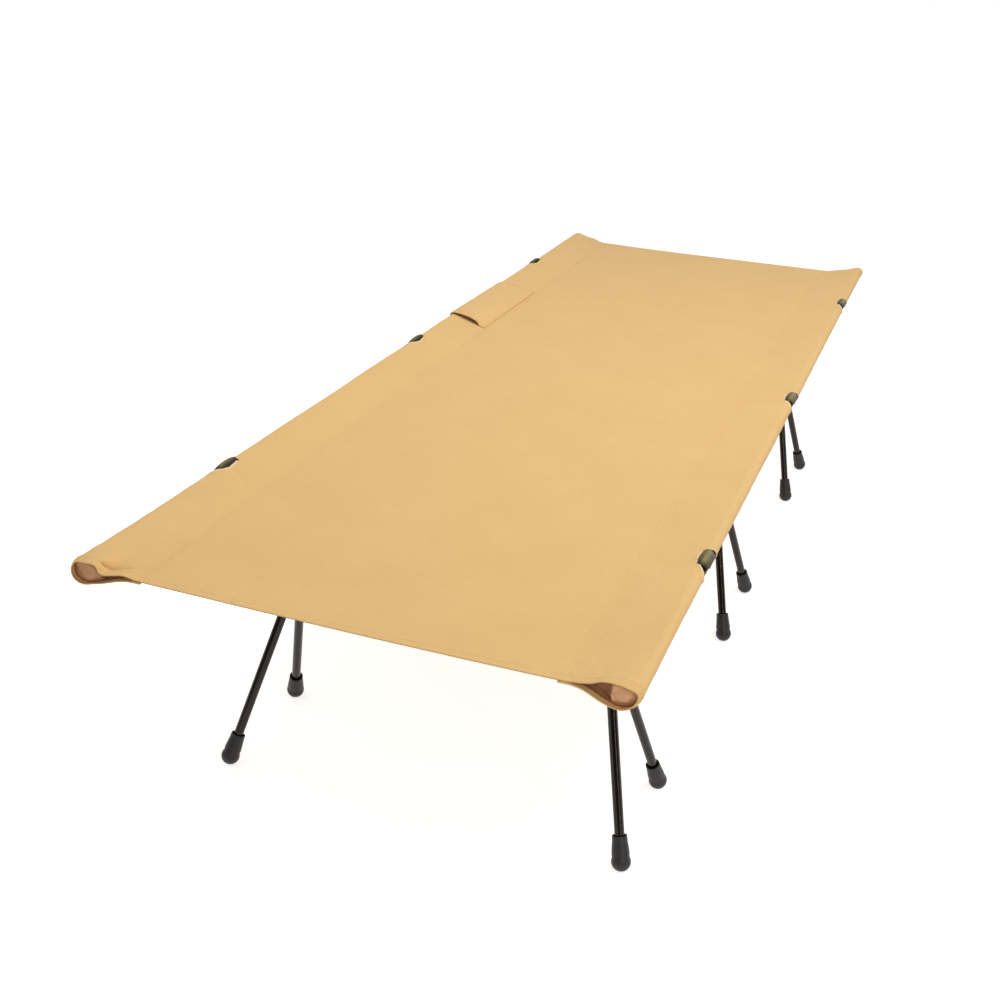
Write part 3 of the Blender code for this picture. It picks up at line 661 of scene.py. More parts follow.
def extruded(bm, edges):
    # a strip of faces along the edges: its new vertices, each with the one it came from, and its new edges
    before = {vert.co.to_tuple(7): vert for edge in edges for vert in edge.verts}
    made = bmesh.ops.extrude_edge_only(bm, edges=edges)["geom"]
    verts = {g: before[g.co.to_tuple(7)] for g in made if isinstance(g, bmesh.types.BMVert)}
    return verts, [g for g in made if isinstance(g, bmesh.types.BMEdge)]


def cutOut(bm, side, station):
    # clears a patch of the grid, and closes it in to the oval with rings of faces
    def isNear(place, margin):
        reach = side * place.x - outerAt
        isAcross = -bed["cutAbove"] - margin < reach < bed["cutBelow"] + margin
        return isAcross and abs(place.y - station) < bed["cutHalfLength"] + margin

    margin = bed["cutMargin"]
    inside = [face for face in bm.faces if isNear(face.calc_center_median(), margin)]
    bmesh.ops.delete(bm, geom=inside, context="FACES")
    outside = [edge for edge in bm.edges if edge.is_boundary]
    edges = [e for e in outside if isNear((e.verts[0].co + e.verts[1].co) / 2, margin + 0.010)]
    outline = {}
    for vert in (vert for edge in edges for vert in edge.verts):
        reach = side * vert.co.x - outerAt
        reach /= bed["cutAbove"] if reach < 0 else bed["cutBelow"]
        outline[vert] = (vert.co.copy(), math.atan2((vert.co.y - station) / bed["cutHalfLength"], reach))
    for share in (0.30, 0.56, 0.76, 0.90, 1.0):
        verts, edges = extruded(bm, edges)
        outline = {vert: outline[before] for vert, before in verts.items()}
        for vert, (start, angle) in outline.items():
            vert.co = start.lerp(Vector((*ovalPoint(side, station, angle), 0.0)), share)


# the end hem's fold: (beyond the edge, above the cloth, share of painted shade). Its painted shade is less in
# the lower
# layer, which lies open to the light: the left one's share, and the right one's.
hem = {"fold": (
    (0.0004, -0.0001, 0.0), (0.0005, -0.0005, 0.15), (0.0004, -0.0009, 0.7), (-0.0002, -0.0010, 1.0),
    (-0.0018, -0.0010, 1.0), (-0.0030, -0.0010, 0.2), (-0.0060, -0.0010, 0.0), (-0.0110, -0.0010, 0.0),
), "lowerShade": (0.55, 0.22)}


def bedCloth():
    bm = unevenGrid(clothColumns(), clothRows())
    turned = bm.verts.layers.float.new("turned")
    for side, _ in sides:
        for station, _ in stations:
            cutOut(bm, side, station)
    # the ends are turned under in a hem
    for end, _ in ends:
        edges = [
            e for e in bm.edges
            if e.is_boundary and all(abs(v.co.y - end * bed["halfLength"]) < 1e-6 for v in e.verts)
        ]
        for outward, rise, shade in hem["fold"]:
            verts, edges = extruded(bm, edges)
            for vert in verts:
                vert.co.y = end * (bed["halfLength"] + outward)
                vert.co.z = rise
                isLower = abs(vert.co.x) > seamX + crownAt + 0.004
                # painted shade along the hem's fold, less in the lower layer
                vert[turned] = shade * (hem["lowerShade"][vert.co.x > 0] if isLower else 1.0)
    # painted shade darkens the deepest creases a little
    for vert, depth in zip(bm.verts, -foldHeight(*vertPlaces(bm)[:, :2].T)):
        vert[turned] = max(vert[turned], min(0.5, (depth - 0.0018) / 0.0040))
    hang(bm)
    return addSewn("bed_cloth", bm, canvas, ["bed_sheet"], 60, bed["thickness"])


# Binding sewn round each cut-out: (away from the edge, above the cloth), a flattened roll
binding = {"section": (
    (0.0028, 0.0005), (0.0021, 0.0010), (0.0008, 0.0012), (-0.0004, 0.0009), (-0.0008, 0.0),
    (-0.0004, -0.0009), (0.0008, -0.0012), (0.0021, -0.0010), (0.0028, -0.0005),
), "around": 80}


def cutOutBinding(name, side, station):
    bm = bmesh.new()
    turned = bm.verts.layers.float.new("turned")
    rings = []
    for away, rise in binding["section"]:
        made = bmesh.ops.create_circle(bm, segments=binding["around"], radius=1.0)["verts"]
        rings.append(edgesOf(made))
        for vert in made:
            s, v = ovalPoint(side, station, math.atan2(vert.co.y, vert.co.x), away)
            vert.co = (s, v, rise)
            # painted shade under the roll, and a little on its inner top edge beside the hole
            vert[turned] = 1.0 if rise <= 0.0 else 0.45 * (away < 0.0)
    for ring, after in zip(rings, rings[1:] + rings[:1]):
        bmesh.ops.bridge_loops(bm, edges=ring + after)
    hang(bm)
    return addSewn(name, bm, bindingTape)


stitch = {
    "length": 0.0030, "gap": 0.0013, "width": 0.00060, "height": 0.00045, "seamInsets": (0.002, 0.008),
    "seamEnd": 0.944, "hemInset": 0.009, "hemUnder": 0.0016, "bindingOff": 0.0019, "onBinding": 0.0012,
}


def stitchRun(line, heightAt):
    # one stitch arrayed along a line of flat-cloth points, and then hung with the cloth
    line = np.array(line, float)
    lineAt = lengthsAlong(line)
    pitch = stitch["length"] + stitch["gap"]
    bm = bmesh.new()
    bmesh.ops.create_uvsphere(bm, u_segments=6, v_segments=4, radius=0.5)
    bm.transform(Matrix.Rotation(math.pi / 2, 4, "Y"))
    bm.transform(Matrix.Diagonal((stitch["length"], stitch["width"], stitch["height"], 1.0)))
    bm.transform(Matrix.Translation((pitch / 2, 0.0, 0.0)))
    one = addObject("stitch", toMesh(bm, "stitch"))
    addModifier(
        one, "ARRAY", use_relative_offset=False, use_constant_offset=True,
        constant_offset_displace=(pitch, 0.0, 0.0), count=int(lineAt[-1] / pitch)
    )
    mesh = evaluatedMesh(one)
    along, off, rise = meshPlaces(mesh).T
    s, v = (np.interp(along, lineAt, line[:, axis]) for axis in (0, 1))
    ahead = along + 0.0005
    runS, runV = (np.interp(ahead, lineAt, line[:, axis]) - now for axis, now in enumerate((s, v)))
    run = np.maximum(np.hypot(runS, runV), 1e-9)
    s, v = s - off * runV / run, v + off * runS / run
    hungPlace = onCloth(np.stack([s, v, rise + heightAt(s, v)], axis=-1))
    mesh.vertices.foreach_set("co", hungPlace.ravel())
    return mesh


def stitching(name, rows):
    bm = bmesh.new()
    for line, heightAt in rows:
        bm.from_mesh(stitchRun(line, heightAt))
    return addSewn(name, bm, thread, sharpDeg=80)


def level(height):
    return lambda s, v: height


bedPiece = bedCloth()
print("bed cloth:", len(bedPiece.data.polygons), "faces in its middle surface")
topThread = bed["thickness"] / 2 + 0.0001
underThread = -bed["thickness"] - bed["layerGap"] - 0.0001
for side, sideName in sides:
    for station, stationName in stations:
        cutOutBinding("cutout_binding_" + stationName + "_" + sideName, side, station)
    rows = []
    for inset in stitch["seamInsets"]:
        run = np.linspace(-stitch["seamEnd"], stitch["seamEnd"], 60)
        line = [(side * (seamX - inset), v) for v in run]
        rows += [(line, level(topThread)), (line, level(underThread))]
    stitching("seam_stitches_" + sideName, rows)
    rows = []
    for station, _ in stations:
        angles = np.linspace(0, fullTurn, 60)
        line = [ovalPoint(side, station, angle, stitch["bindingOff"]) for angle in angles]
        rows.append((line, level(stitch["onBinding"])))
    stitching("cutout_stitches_" + sideName, rows)
for end, endName in ends:
    v, reach = end * (bed["halfLength"] - stitch["hemInset"]), clothHalfWidth - 0.004
    line = [(s, v) for s in np.linspace(-reach, reach, 300)]
    rows = [(line, level(topThread)), (line, level(-stitch["hemUnder"]))]
    stitching("hem_stitches_" + endName, rows)
print("bindings and stitches sewn")


# End faces: cloth sewn in a little way from each sleeve mouth

endFace = {
    "under": 0.0010, "inset": 0.0062, "upperStart": 0.012, "lowerEnd": 0.158, "count": 72, "rings": 9,
    "bulge": 0.0035, "recess": 0.0035, "recessAt": 0.20, "recessSpread": 0.13, "ripple": 0.0009,
    "tuckAt": -0.0245, "tuckDepth": 0.0060, "tuckSoft": 0.0006, "tuckFull": 0.30, "rimShade": 0.15,
    "insideShade": 0.72, "faceShade": (0.25, 0.0), "capRadius": 0.0095, "capPush": 0.0004,
    "thickness": 0.0008,
}


def sleeveEnd(name, side, end):
    f = endFace
    v = end * (bed["halfLength"] - f["inset"])
    bm = bmesh.new()
    turned = bm.verts.layers.float.new("turned")
    made = bmesh.ops.create_circle(bm, segments=f["count"], radius=1.0)["verts"]
    around = np.linspace(f["upperStart"], f["lowerEnd"], f["count"])
    rim = onCloth([(side * (seamX + t), v, -f["under"]) for t in around])
    for vert, place in zip(made, rim):
        vert.co = place
        # painted shade all round the rim
        vert[turned] = 1.0
    middle = Vector(rim.mean(axis=0))
    rng = random.Random(11 + side + 3 * end)
    ripples = [(rng.uniform(0, 6.3), rng.choice((3, 4, 5))) for _ in range(2)]
    edges = edgesOf(made)
    origin = {vert: vert.co.copy() for vert in made}
    for ring in range(1, f["rings"] + 1):
        verts, edges = extruded(bm, edges)
        origin = {vert: origin[before] for vert, before in verts.items()}
        share = (ring / (f["rings"] + 0.6)) ** 1.3
        # drawn in along its seam, and full in the middle
        fullness = f["bulge"] * math.sin(share * math.pi / 2)
        fullness -= f["recess"] * math.exp(-(((share - f["recessAt"]) / f["recessSpread"]) ** 2))
        rimShade = math.exp(-((share / f["rimShade"]) ** 2))
        for vert, start in origin.items():
            angle = math.atan2(start.z - middle.z, start.x - middle.x)
            vert.co = start.lerp(middle, share)
            waves = sum(math.sin(count * angle + phase) for phase, count in ripples)
            push = fullness + f["ripple"] * waves * share * (1 - share) * 4
            # an upright tuck takes up the slack towards the bed. Painted shade lies in the tuck, round the
            # rim, and a little over the whole left face
            u = side * vert.co.x - bed["poleX"]
            inTuck = 1 / (1 + math.exp((u - f["tuckAt"]) / f["tuckSoft"]))
            push -= f["tuckDepth"] * inTuck * min(1.0, share / f["tuckFull"])
            vert[turned] = max(rimShade, f["insideShade"] * inTuck, f["faceShade"][side > 0])
            # the pole's end cap fills it out
            if math.hypot(u, vert.co.z - bed["poleZ"]) < f["capRadius"]:
                push = max(push, f["capPush"])
            vert.co.y = v + (start.y - v) * (1 - share) + end * push
    bmesh.ops.contextual_create(bm, geom=edges)
    keepFlat(bm, (0, 2))
    return addSewn(name, bm, endCanvas, thickness=f["thickness"])


for side, sideName in sides:
    for end, endName in ends:
        sleeveEnd("sleeve_end_" + endName + "_" + sideName, side, end)
print("sleeve ends closed")


# Storage pocket: a patch hemmed all round and sewn on three sides, its foot-end edge standing open

# fold: the border turned under, as (beyond the edge, above the cloth, share of painted shade)
pocket = {
    "start": 0.1475, "skew": 0.028, "end": 0.430, "inner": 0.0005, "outer": 0.0790, "base": 0.0027,
    "mouthRise": 0.0072, "sewnShare": 0.15, "slackRise": 0.0014, "thickness": 0.0008,
    "fold": (
        (0.0005, -0.0004, 0.0), (0.0008, -0.0012, 0.0), (0.0004, -0.0020, 0.5), (-0.0010, -0.0023, 1.0),
        (-0.0070, -0.0022, 1.0),
    ),
}
pocketWide, pocketLong = pocket["outer"] - pocket["inner"], pocket["end"] - pocket["start"]


def pocketHeight(across, along):
    # across runs 0 to 1 from the seam out to the pole, along 0 to 1 from the mouth
    fromSewn = rising(across, pocket["sewnShare"], 1.0)
    bulge = np.sin(math.pi * fromSewn**0.62) ** 0.75
    lift = pocket["mouthRise"] * bulge * (1 - along) ** 1.6
    slack = pocket["slackRise"] * np.sin(math.pi * across) * np.sin(math.pi * along) ** 0.7
    return pocket["base"] + lift + slack


def pocketPlace(across, along, rise):
    # the mouth runs a little askew: its outer end lies nearer the head end
    start = pocket["start"] + pocket["skew"] * across
    s = -(seamX + pocket["inner"] + across * pocketWide)
    height = pocketHeight(np.clip(across, 0.0, 1.0), np.clip(along, 0.0, 1.0))
    return np.stack([s, start + along * (pocket["end"] - start), height + rise], axis=-1)


def pocketCloth():
    # made as a unit square whose border is turned under, and then laid out and hung
    rows = list(np.linspace(0.0, 0.96, 22) ** 1.4 * 0.5) + list(np.linspace(0.5, 1.0, 22))
    bm = unevenGrid(list(np.linspace(0.0, 1.0, 31)), rows)
    turned = bm.verts.layers.float.new("turned")
    edges = [e for e in bm.edges if e.is_boundary]
    reached = 0.0
    for outward, rise, shade in pocket["fold"]:
        verts, edges = extruded(bm, edges)
        for vert in verts:
            for axis, size in enumerate((pocketWide, pocketLong)):
                for border, sign in ((0.0, -1), (1.0, 1)):
                    if abs(vert.co[axis] - border - sign * reached / size) < 0.00001:
                        vert.co[axis] = border + sign * outward / size
                        break
            vert.co.z = rise
            # painted shade under the turned-in border
            vert[turned] = shade
        reached = outward
    for vert, place in zip(bm.verts, pocketPlace(*vertPlaces(bm).T)):
        vert.co = place
    hang(bm)
    return addSewn("pocket_cloth", bm, pocketCanvas, ["storage_pocket"], 60, pocket["thickness"])


pocketPiece = pocketCloth()
print("pocket sewn")


def pocketStitches():
    # two sides and the closed end, and the mouth's own hem
    def heightAt(s, v):
        across = (np.abs(s) - seamX - pocket["inner"]) / pocketWide
        start = pocket["start"] + pocket["skew"] * across
        along = rising(v, start, pocket["end"])
        return pocketHeight(np.clip(across, 0.0, 1.0), along) + 0.0005

    edgeS, edgeV, mouthV = 0.003 / pocketWide, 0.003 / pocketLong, 0.012 / pocketLong
    innerFoot, outerFoot = (edgeS, 0.004), (1 - edgeS, 0.004)
    innerHead, outerHead = (edgeS, 1 - edgeV), (1 - edgeS, 1 - edgeV)
    runs = (
        (innerFoot, innerHead), (innerHead, outerHead), (outerHead, outerFoot),
        ((edgeS, mouthV), (1 - edgeS, mouthV)),
    )
    rows = []
    for start, finish in runs:
        across, along = (np.linspace(start[axis], finish[axis], 40) for axis in (0, 1))
        rows.append((pocketPlace(across, along, 0.0)[:, :2], heightAt))
    return stitching("pocket_stitches", rows)


pocketThread = pocketStitches()


# Frame hardware. Each cross frame is described on its right side, and turned half a turn for the left.

rig = {
    "hubX": 0.2219, "hubZ": 0.262, "armJoinZ": 0.270, "spreaderTilt": 0.12, "legHalfGap": 0.008,
    "footX": 0.2832, "footY": 0.0942, "footBallZ": 0.0115, "tubeRadius": 0.0065, "tubeWall": 0.0010,
    "armSocketStart": 0.0125, "armSocketEnd": 0.047, "legSocketDepth": 0.046, "barrelRadius": 0.0095,
    "boreRadius": 0.0069, "clipBoreStart": 0.0165,
}
polePoint = Vector((bed["poleX"], 0.0, bed["poleZ"]))
armPoint = Vector((rig["hubX"], 0.0, rig["armJoinZ"]))
armDown = (armPoint - polePoint).normalized()
armSpan = (armPoint - polePoint).length
armOff = Vector((-armDown.z, 0.0, armDown.x))
spreaderIn = Vector((-1.0, 0.0, rig["spreaderTilt"])).normalized()


def armPlace(along, off, y=0.0):
    return polePoint + armDown * along + armOff * off + Vector((0.0, y, 0.0))


def legLine(end):
    top = Vector((rig["hubX"], end * rig["legHalfGap"], rig["hubZ"]))
    ball = Vector((rig["footX"], end * rig["footY"], rig["footBallZ"]))
    return top, ball


def addArmPlate(bm, outline, yLow, yHigh, edge):
    # a plate whose outline is given along the arm's line and off it
    addPlate(bm, [armPlace(along, off).xz for along, off in outline], yLow, yHigh, edge)


def addCrossRod(bm, along, off, half, radius, sides=40, edge=0.0):
    # a rod that runs the cot's way, across the arm
    addRod(bm, armPlace(along, off, -half), armPlace(along, off, half), radius, sides, edge)


def addSocket(solid, cuts, start, direction, reach, floor, radius, lipRadius):
    # a barrel with a thicker lip, bored from its floor out
    mouth = start + direction * reach
    addRod(solid, start, mouth, radius, edge=0.0006)
    addRod(solid, mouth - direction * 0.006, mouth, lipRadius, edge=0.0008)
    floorAt = start + direction * (floor - 0.0003)
    addRod(cuts, floorAt, mouth + direction * 0.004, rig["boreRadius"], sides=48)


def hubMesh():
    # core with four socket barrels, and webs between them
    solid, cuts = bmesh.new(), bmesh.new()
    addBlock(solid, (0.034, 0.036, 0.027), Matrix.Translation((rig["hubX"], 0.0, rig["hubZ"] + 0.008)), 0.006)
    sockets = [(armPoint, to, rig["armSocketEnd"], rig["armSocketStart"]) for to in (-armDown, spreaderIn)]
    for end, _ in ends:
        top, ball = legLine(end)
        sockets.append((top, (ball - top).normalized(), rig["legSocketDepth"], 0.0))
    for socket in sockets:
        addSocket(solid, cuts, *socket, rig["barrelRadius"] - 0.0004, rig["barrelRadius"] + 0.0006)
    web = ((-0.030, 0.262), (0.012, 0.262), (0.028, 0.300), (0.010, 0.298), (-0.004, 0.286), (-0.034, 0.280))
    addPlate(solid, [(rig["hubX"] + x, z) for x, z in web], -0.0022, 0.0022, 0.0008)
    return moulded("leg hub", solid, cuts, 0.0009, 4)


clip = {
    "inner": 0.0077, "outer": 0.0103, "shoulder": 0.0086, "hookHalf": 0.0230, "fromDeg": 18, "toDeg": 285,
    "crownAtDeg": 83, "crownSpreadDeg": 28, "crownRise": 0.0030, "endPower": 0.45, "nib": 0.0098,
    "nibRadius": 0.0014, "barrelStart": 0.0085, "barrelEnd": 0.052, "pivotAlong": 0.044,
    "pivotOff": 0.0125, "pinBore": 0.0022, "earInner": 0.0060, "earOuter": 0.0095, "earRadius": 0.0048,
}


def fromPole(angle, radius, y=0.0):
    return polePoint + Vector((radius * math.cos(angle), y, radius * math.sin(angle)))


def addHook(bm):
    # a crowned C round the pole, thickest half way along, its lip a rounded bead
    half, count = clip["hookHalf"], 14
    start = math.radians(clip["fromDeg"])

    def roundness(y):
        return max(0.0, 1 - (y / half) ** 2) ** clip["endPower"]

    profile = [(clip["inner"], -half), (clip["inner"], half)]
    for k in range(count + 1):
        y = half * (1 - 2 * k / count)
        profile.append((clip["shoulder"] + (clip["outer"] - clip["shoulder"]) * roundness(y), y))
    verts = [bm.verts.new(fromPole(start, radius, y)) for radius, y in profile]
    face = bm.faces.new(verts)
    bmesh.ops.spin(
        bm, geom=[face, *face.edges, *verts], cent=polePoint, axis=(0, -1, 0), dvec=(0, 0, 0),
        angle=math.radians(clip["toDeg"] - clip["fromDeg"]), steps=48, use_merge=False, use_duplicate=False
    )
    # a domed thumb rest on its crown
    for vert in bm.verts:
        away = vert.co - Vector((polePoint.x, vert.co.y, polePoint.z))
        if away.length > clip["inner"] + 0.0003:
            off = (math.degrees(math.atan2(away.z, away.x)) - clip["crownAtDeg"]) / clip["crownSpreadDeg"]
            vert.co += away.normalized() * clip["crownRise"] * math.exp(-off * off) * roundness(vert.co.y)
    bead = [fromPole(start + 0.07, clip["nib"], y) for y in (-half * 0.72, half * 0.72)]
    addRod(bm, *bead, clip["nibRadius"], sides=20, edge=0.0008)


# Where a highlight is painted on the hook: (degrees round the pole, spread, share), its crown and less its
# outer flank
highlightBands = ((78, 22, 1.0), (14, 20, 0.40))


def paintHighlight(mesh):
    x, y, z = meshPlaces(mesh).T
    x, z = x - polePoint.x, z - polePoint.z
    turnDeg = np.degrees(np.arctan2(z, x))
    share = sum(most * np.exp(-(((turnDeg - atDeg) / spreadDeg) ** 2)) for atDeg, spreadDeg, most in highlightBands)
    # the painted highlight keeps to the hook's outer face and fades out towards its ends, which keep the dark
    # tone as painted shade next to the binding
    share *= rising(-np.hypot(x, z), -0.0150, -0.0140) * rising(clip["hookHalf"] - np.abs(y), 0.0, 0.009)
    mesh.attributes.new("paintedHighlight", "FLOAT", "POINT").data.foreach_set("value", share)
    return mesh


def clipMesh(hasLever):
    solid, cuts = bmesh.new(), bmesh.new()
    addHook(solid)
    addSocket(
        solid, cuts, armPlace(clip["barrelStart"], 0), armDown, clip["barrelEnd"] - clip["barrelStart"],
        rig["clipBoreStart"] - clip["barrelStart"], rig["barrelRadius"] - 0.0003, rig["barrelRadius"] + 0.0005
    )
    for y in (-0.0080, 0.0080):
        # ribs that carry the hook's pull down to the barrel
        rib = ((0.006, 0.0080), (0.030, 0.0088), (0.030, -0.0088), (0.006, -0.0080))
        addArmPlate(solid, rib, y - 0.0012, y + 0.0012, 0.0004)
    addCrossRod(cuts, 0, 0, 0.03, clip["inner"] - 0.0002, 64)
    if hasLever:
        along, off, radius = clip["pivotAlong"], clip["pivotOff"], clip["earRadius"]
        ear = [(along - 0.009, 0.004), (along + 0.0075, 0.004)]
        for k in range(13):
            angle = math.radians(-20 + 180 * k / 12)
            ear.append((along + radius * math.cos(angle), off + radius * math.sin(angle)))
        addArmPlate(solid, ear, -clip["earOuter"], -clip["earInner"], 0.0004)
        addArmPlate(solid, ear, clip["earInner"], clip["earOuter"], 0.0004)
        addCrossRod(cuts, along, off, clip["earInner"] - 0.0001, 0.0062, 48)
        addCrossRod(cuts, along, off, 0.012, clip["pinBore"], 24)
    return paintHighlight(moulded("lever clip" if hasLever else "hook clip", solid, cuts, 0.0006, 3))


# paddle: its sections as (along the arm, near face, far face, half width)
lever = {
    "half": 0.0055, "camRadius": 0.0051, "ribs": (0.084, 0.089, 0.094, 0.099), "ribOff": 0.0142,
    "neck": ((0.0455, 0.0101), (0.062, 0.0102), (0.062, 0.0146), (0.049, 0.0166), (0.045, 0.0166)),
    "paddle": (
        (0.0575, 0.0102, 0.0150, 0.0068), (0.0700, 0.0101, 0.0145, 0.0098), (0.0900, 0.0101, 0.0138, 0.0108),
        (0.1020, 0.0108, 0.0142, 0.0106), (0.1115, 0.0132, 0.0160, 0.0084),
    ),
}


def leverMesh():
    # cam, neck and a spoon-shaped thumb paddle with grip ribs
    solid, cuts = bmesh.new(), bmesh.new()
    along, off, half = clip["pivotAlong"], clip["pivotOff"], lever["half"]
    addCrossRod(solid, along, off - 0.0005, half, lever["camRadius"], edge=0.0005)
    addArmPlate(solid, lever["neck"], -half, half, 0.0005)
    shares = np.linspace(-0.5, 0.5, 7)
    corners = [(across, -0.5) for across in shares] + [(across, 0.5) for across in shares[::-1]]
    rings = []
    for a, low, high, width in lever["paddle"]:
        # thinner towards its edges
        places = [(across, rise * (1 - across**2)) for across, rise in corners]
        rings.append([armPlace(a, (low + high) / 2 + (high - low) * r, 2 * width * c) for c, r in places])
    addLoft(solid, rings)
    bmesh.ops.recalc_face_normals(solid, faces=solid.faces)
    for a in lever["ribs"]:
        addCrossRod(solid, a, lever["ribOff"], 0.0075, 0.0009, 16)
    addCrossRod(cuts, along, off, 0.012, clip["pinBore"], 24)
    return moulded("tension lever", solid, cuts, 0.0005, 2)


def tubeMesh(name, points, radius):
    curve = bpy.data.curves.new(name, "CURVE")
    curve.dimensions = "3D"
    curve.bevel_depth = radius
    curve.bevel_resolution = 10
    curve.use_fill_caps = True
    spline = curve.splines.new("POLY")
    spline.points.add(len(points) - 1)
    for point, place in zip(spline.points, points):
        point.co = (*place, 1.0)
    return evaluatedMesh(addObject(name, curve))


def straightTube(name, start, end):
    # an open tube with softened rims and its wall on the inside
    length = (end - start).length
    outer, inner, rim = rig["tubeRadius"], rig["tubeRadius"] - rig["tubeWall"], 0.0002
    profile = (
        (inner + rim, length), (outer - rim, length), (outer, length - rim), (outer, rim), (outer - rim, 0.0),
        (inner + rim, 0.0), (inner, rim), (inner, length - rim),
    )
    return turnedMesh(name, profile, axisMatrix(start, end - start), isRing=True)


def spreaderMesh():
    socketStart = armPoint + spreaderIn * rig["armSocketStart"]
    socketEnd = armPoint + spreaderIn * (rig["armSocketEnd"] + 0.006)
    crown = socketEnd.z + rig["spreaderTilt"] * socketEnd.x / 2
    half = [Vector((socketStart.x, 0.0, socketStart.z))]
    for share in np.linspace(1.0, 0.0, 15):
        half.append(Vector((socketEnd.x * share, 0.0, crown - (crown - socketEnd.z) * share**2)))
    points = half + [Vector((-p.x, p.y, p.z)) for p in half[-2::-1]]
    return tubeMesh("spreader", points, rig["tubeRadius"])


footForm = {
    "ball": 0.01275, "rim": 0.0098, "length": 0.0338, "recess": 0.0086, "recessDepth": 0.004, "bore": 0.0067,
}


def footMesh():
    # up the bore to the recess, over the rim and down the tapered side to the ball end
    f = footForm
    floor, length, rim = f["length"] - f["recessDepth"], f["length"], f["rim"]
    profile = [
        (0.0, 0.0021), (f["bore"], 0.0021), (f["bore"], floor), (f["recess"] - 0.0004, floor),
        (f["recess"], floor + 0.0006), (f["recess"], length - 0.0004), (f["recess"] + 0.0003, length),
        (rim - 0.0004, length), (rim, length - 0.0005), (rim + 0.0001, length - 0.0030),
        (rim + 0.0003, 0.0260), (rim + 0.0008, 0.0220), (rim + 0.0013, 0.0170), (rim + 0.0019, 0.0115),
    ]
    for k in range(13):
        angle = math.radians(28 - 116 * k / 12)
        profile.append((f["ball"] * math.cos(angle), f["ball"] * math.sin(angle)))
    profile.append((0.0, -f["ball"]))
    return turnedMesh("foot", profile, Matrix.Identity(4))


def footInPlace(matrix):
    # the foot stands flat on the ground
    bm = bmesh.new()
    bm.from_mesh(foot)
    bm.transform(matrix)
    geometry = bm.verts[:] + bm.edges[:] + bm.faces[:]
    bmesh.ops.bisect_plane(bm, geom=geometry, plane_co=(0, 0, 0.00005), plane_no=(0, 0, 1), clear_inner=True)
    bmesh.ops.holes_fill(bm, edges=[e for e in bm.edges if e.is_boundary], sides=0)
    return toMesh(bm, "foot")


pinForm = {"radius": 0.0020, "head": 0.0033, "half": 0.0108, "shoulder": 0.0098}


def pinMesh():
    # from one domed head to the other
    head, half = pinForm["head"], pinForm["half"]
    upper = [
        (0.0, half), (head * 0.55, half - 0.00005), (head * 0.9, half - 0.0003), (head, half - 0.0006),
        (head, pinForm["shoulder"]), (pinForm["radius"], pinForm["shoulder"]),
    ]
    profile = upper + [(radius, -height) for radius, height in upper[::-1]]
    pivot = armPlace(clip["pivotAlong"], clip["pivotOff"])
    return turnedMesh("pin", profile, axisMatrix(pivot, lengthways), 32)


hub = hubMesh()
print("hub:", len(hub.polygons), "faces")
hookClip, leverClip, tensionLever = clipMesh(False), clipMesh(True), leverMesh()
print("clips:", len(hookClip.polygons), len(leverClip.polygons), "lever:", len(tensionLever.polygons))
pin, foot, spreader = pinMesh(), footMesh(), spreaderMesh()
arm = straightTube("arm", armPlace(rig["clipBoreStart"], 0), armPlace(armSpan - rig["armSocketStart"], 0))


def addPart(matrix, mesh, node, ending, material, body="cot", sharpDeg=40):
    # a copy of a mesh in its place, named after the node that it stands for
    copy = mesh.copy()
    copy.transform(matrix)
    name = node.removeprefix("leg_") if node.startswith("leg_hub") else node
    addPiece(name + ending, copy, material, body, [node], sharpDeg)


for station, frameName in stations:
    shift = Matrix.Translation((0.0, station, 0.0))
    addPart(shift, spreader, "spreader_" + frameName, "_tube", anodised)
    for side, sideName in sides[::-1]:
        tail = "_" + frameName + "_" + sideName
        here = shift @ Matrix.Rotation(0.0 if side > 0 else math.pi, 4, "Z")
        addPart(here, hub, "leg_hub" + tail, "_moulding", nylon, sharpDeg=35)
        addPart(here, arm, "arm" + tail, "_tube", anodised)
        clipKind, clipForm = ("hook_clip_", hookClip) if side > 0 else ("lever_clip_", leverClip)
        addPart(here, clipForm, clipKind + frameName, "_moulding", bronzeNylon, sharpDeg=35)
        if side < 0:
            addPart(
                here, tensionLever, "tension_lever_" + frameName, "_moulding", nylon,
                "lever_" + frameName, 35
            )
            addPart(here, pin, "lever_pin_" + frameName, "_turned", steel, sharpDeg=30)
        for end, endName in ((-1, "_fore"), (1, "_aft")):
            top, ball = legLine(end * side)
            axis = axisMatrix(ball, top - ball)
            body = "leg" + tail + endName
            tube = straightTube("leg", axis @ Vector((0, 0, 0.0024)), top)
            addPart(here, tube, body, "_tube", anodised, body)
            rubberFoot = "rubber_foot" + tail + endName
            piece = "foot" + tail + endName + "_rubber"
            addPiece(piece, footInPlace(here @ axis), rubber, body, [rubberFoot], 50)
print("cross frames built")


# Side poles: sections swaged down where each plugs into the next, and moulded end caps

sidePole = {
    "radius": 0.0075, "end": 0.9395, "joints": (-0.573, -0.191, 0.191, 0.573), "swage": 0.0004,
    "capHead": 0.0080,
}


def poleMesh(x):
    r, end, swaged = sidePole["radius"], sidePole["end"], sidePole["radius"] - sidePole["swage"]
    profile = [(0.0, -end), (r - 0.0003, -end), (r, -end + 0.0003)]
    for at in sidePole["joints"]:
        profile += [(r, at - 0.0010), (swaged, at - 0.0005), (swaged, at + 0.0005), (r, at + 0.0010)]
    profile += [(r, end - 0.0003), (r - 0.0003, end), (0.0, end)]
    return turnedMesh("pole", profile, axisMatrix((x, 0.0, bed["poleZ"]), lengthways), 64)


def capMesh(x, end):
    r, head = sidePole["radius"], sidePole["capHead"]
    profile = [
        (0.0, 0.0002), (r - 0.0002, 0.0002), (r, 0.0005), (r, head * 0.62), (r * 0.93, head * 0.82),
        (r * 0.72, head), (0.0, head),
    ]
    return turnedMesh("cap", profile, axisMatrix((x, end * sidePole["end"], bed["poleZ"]), (0.0, end, 0.0)))


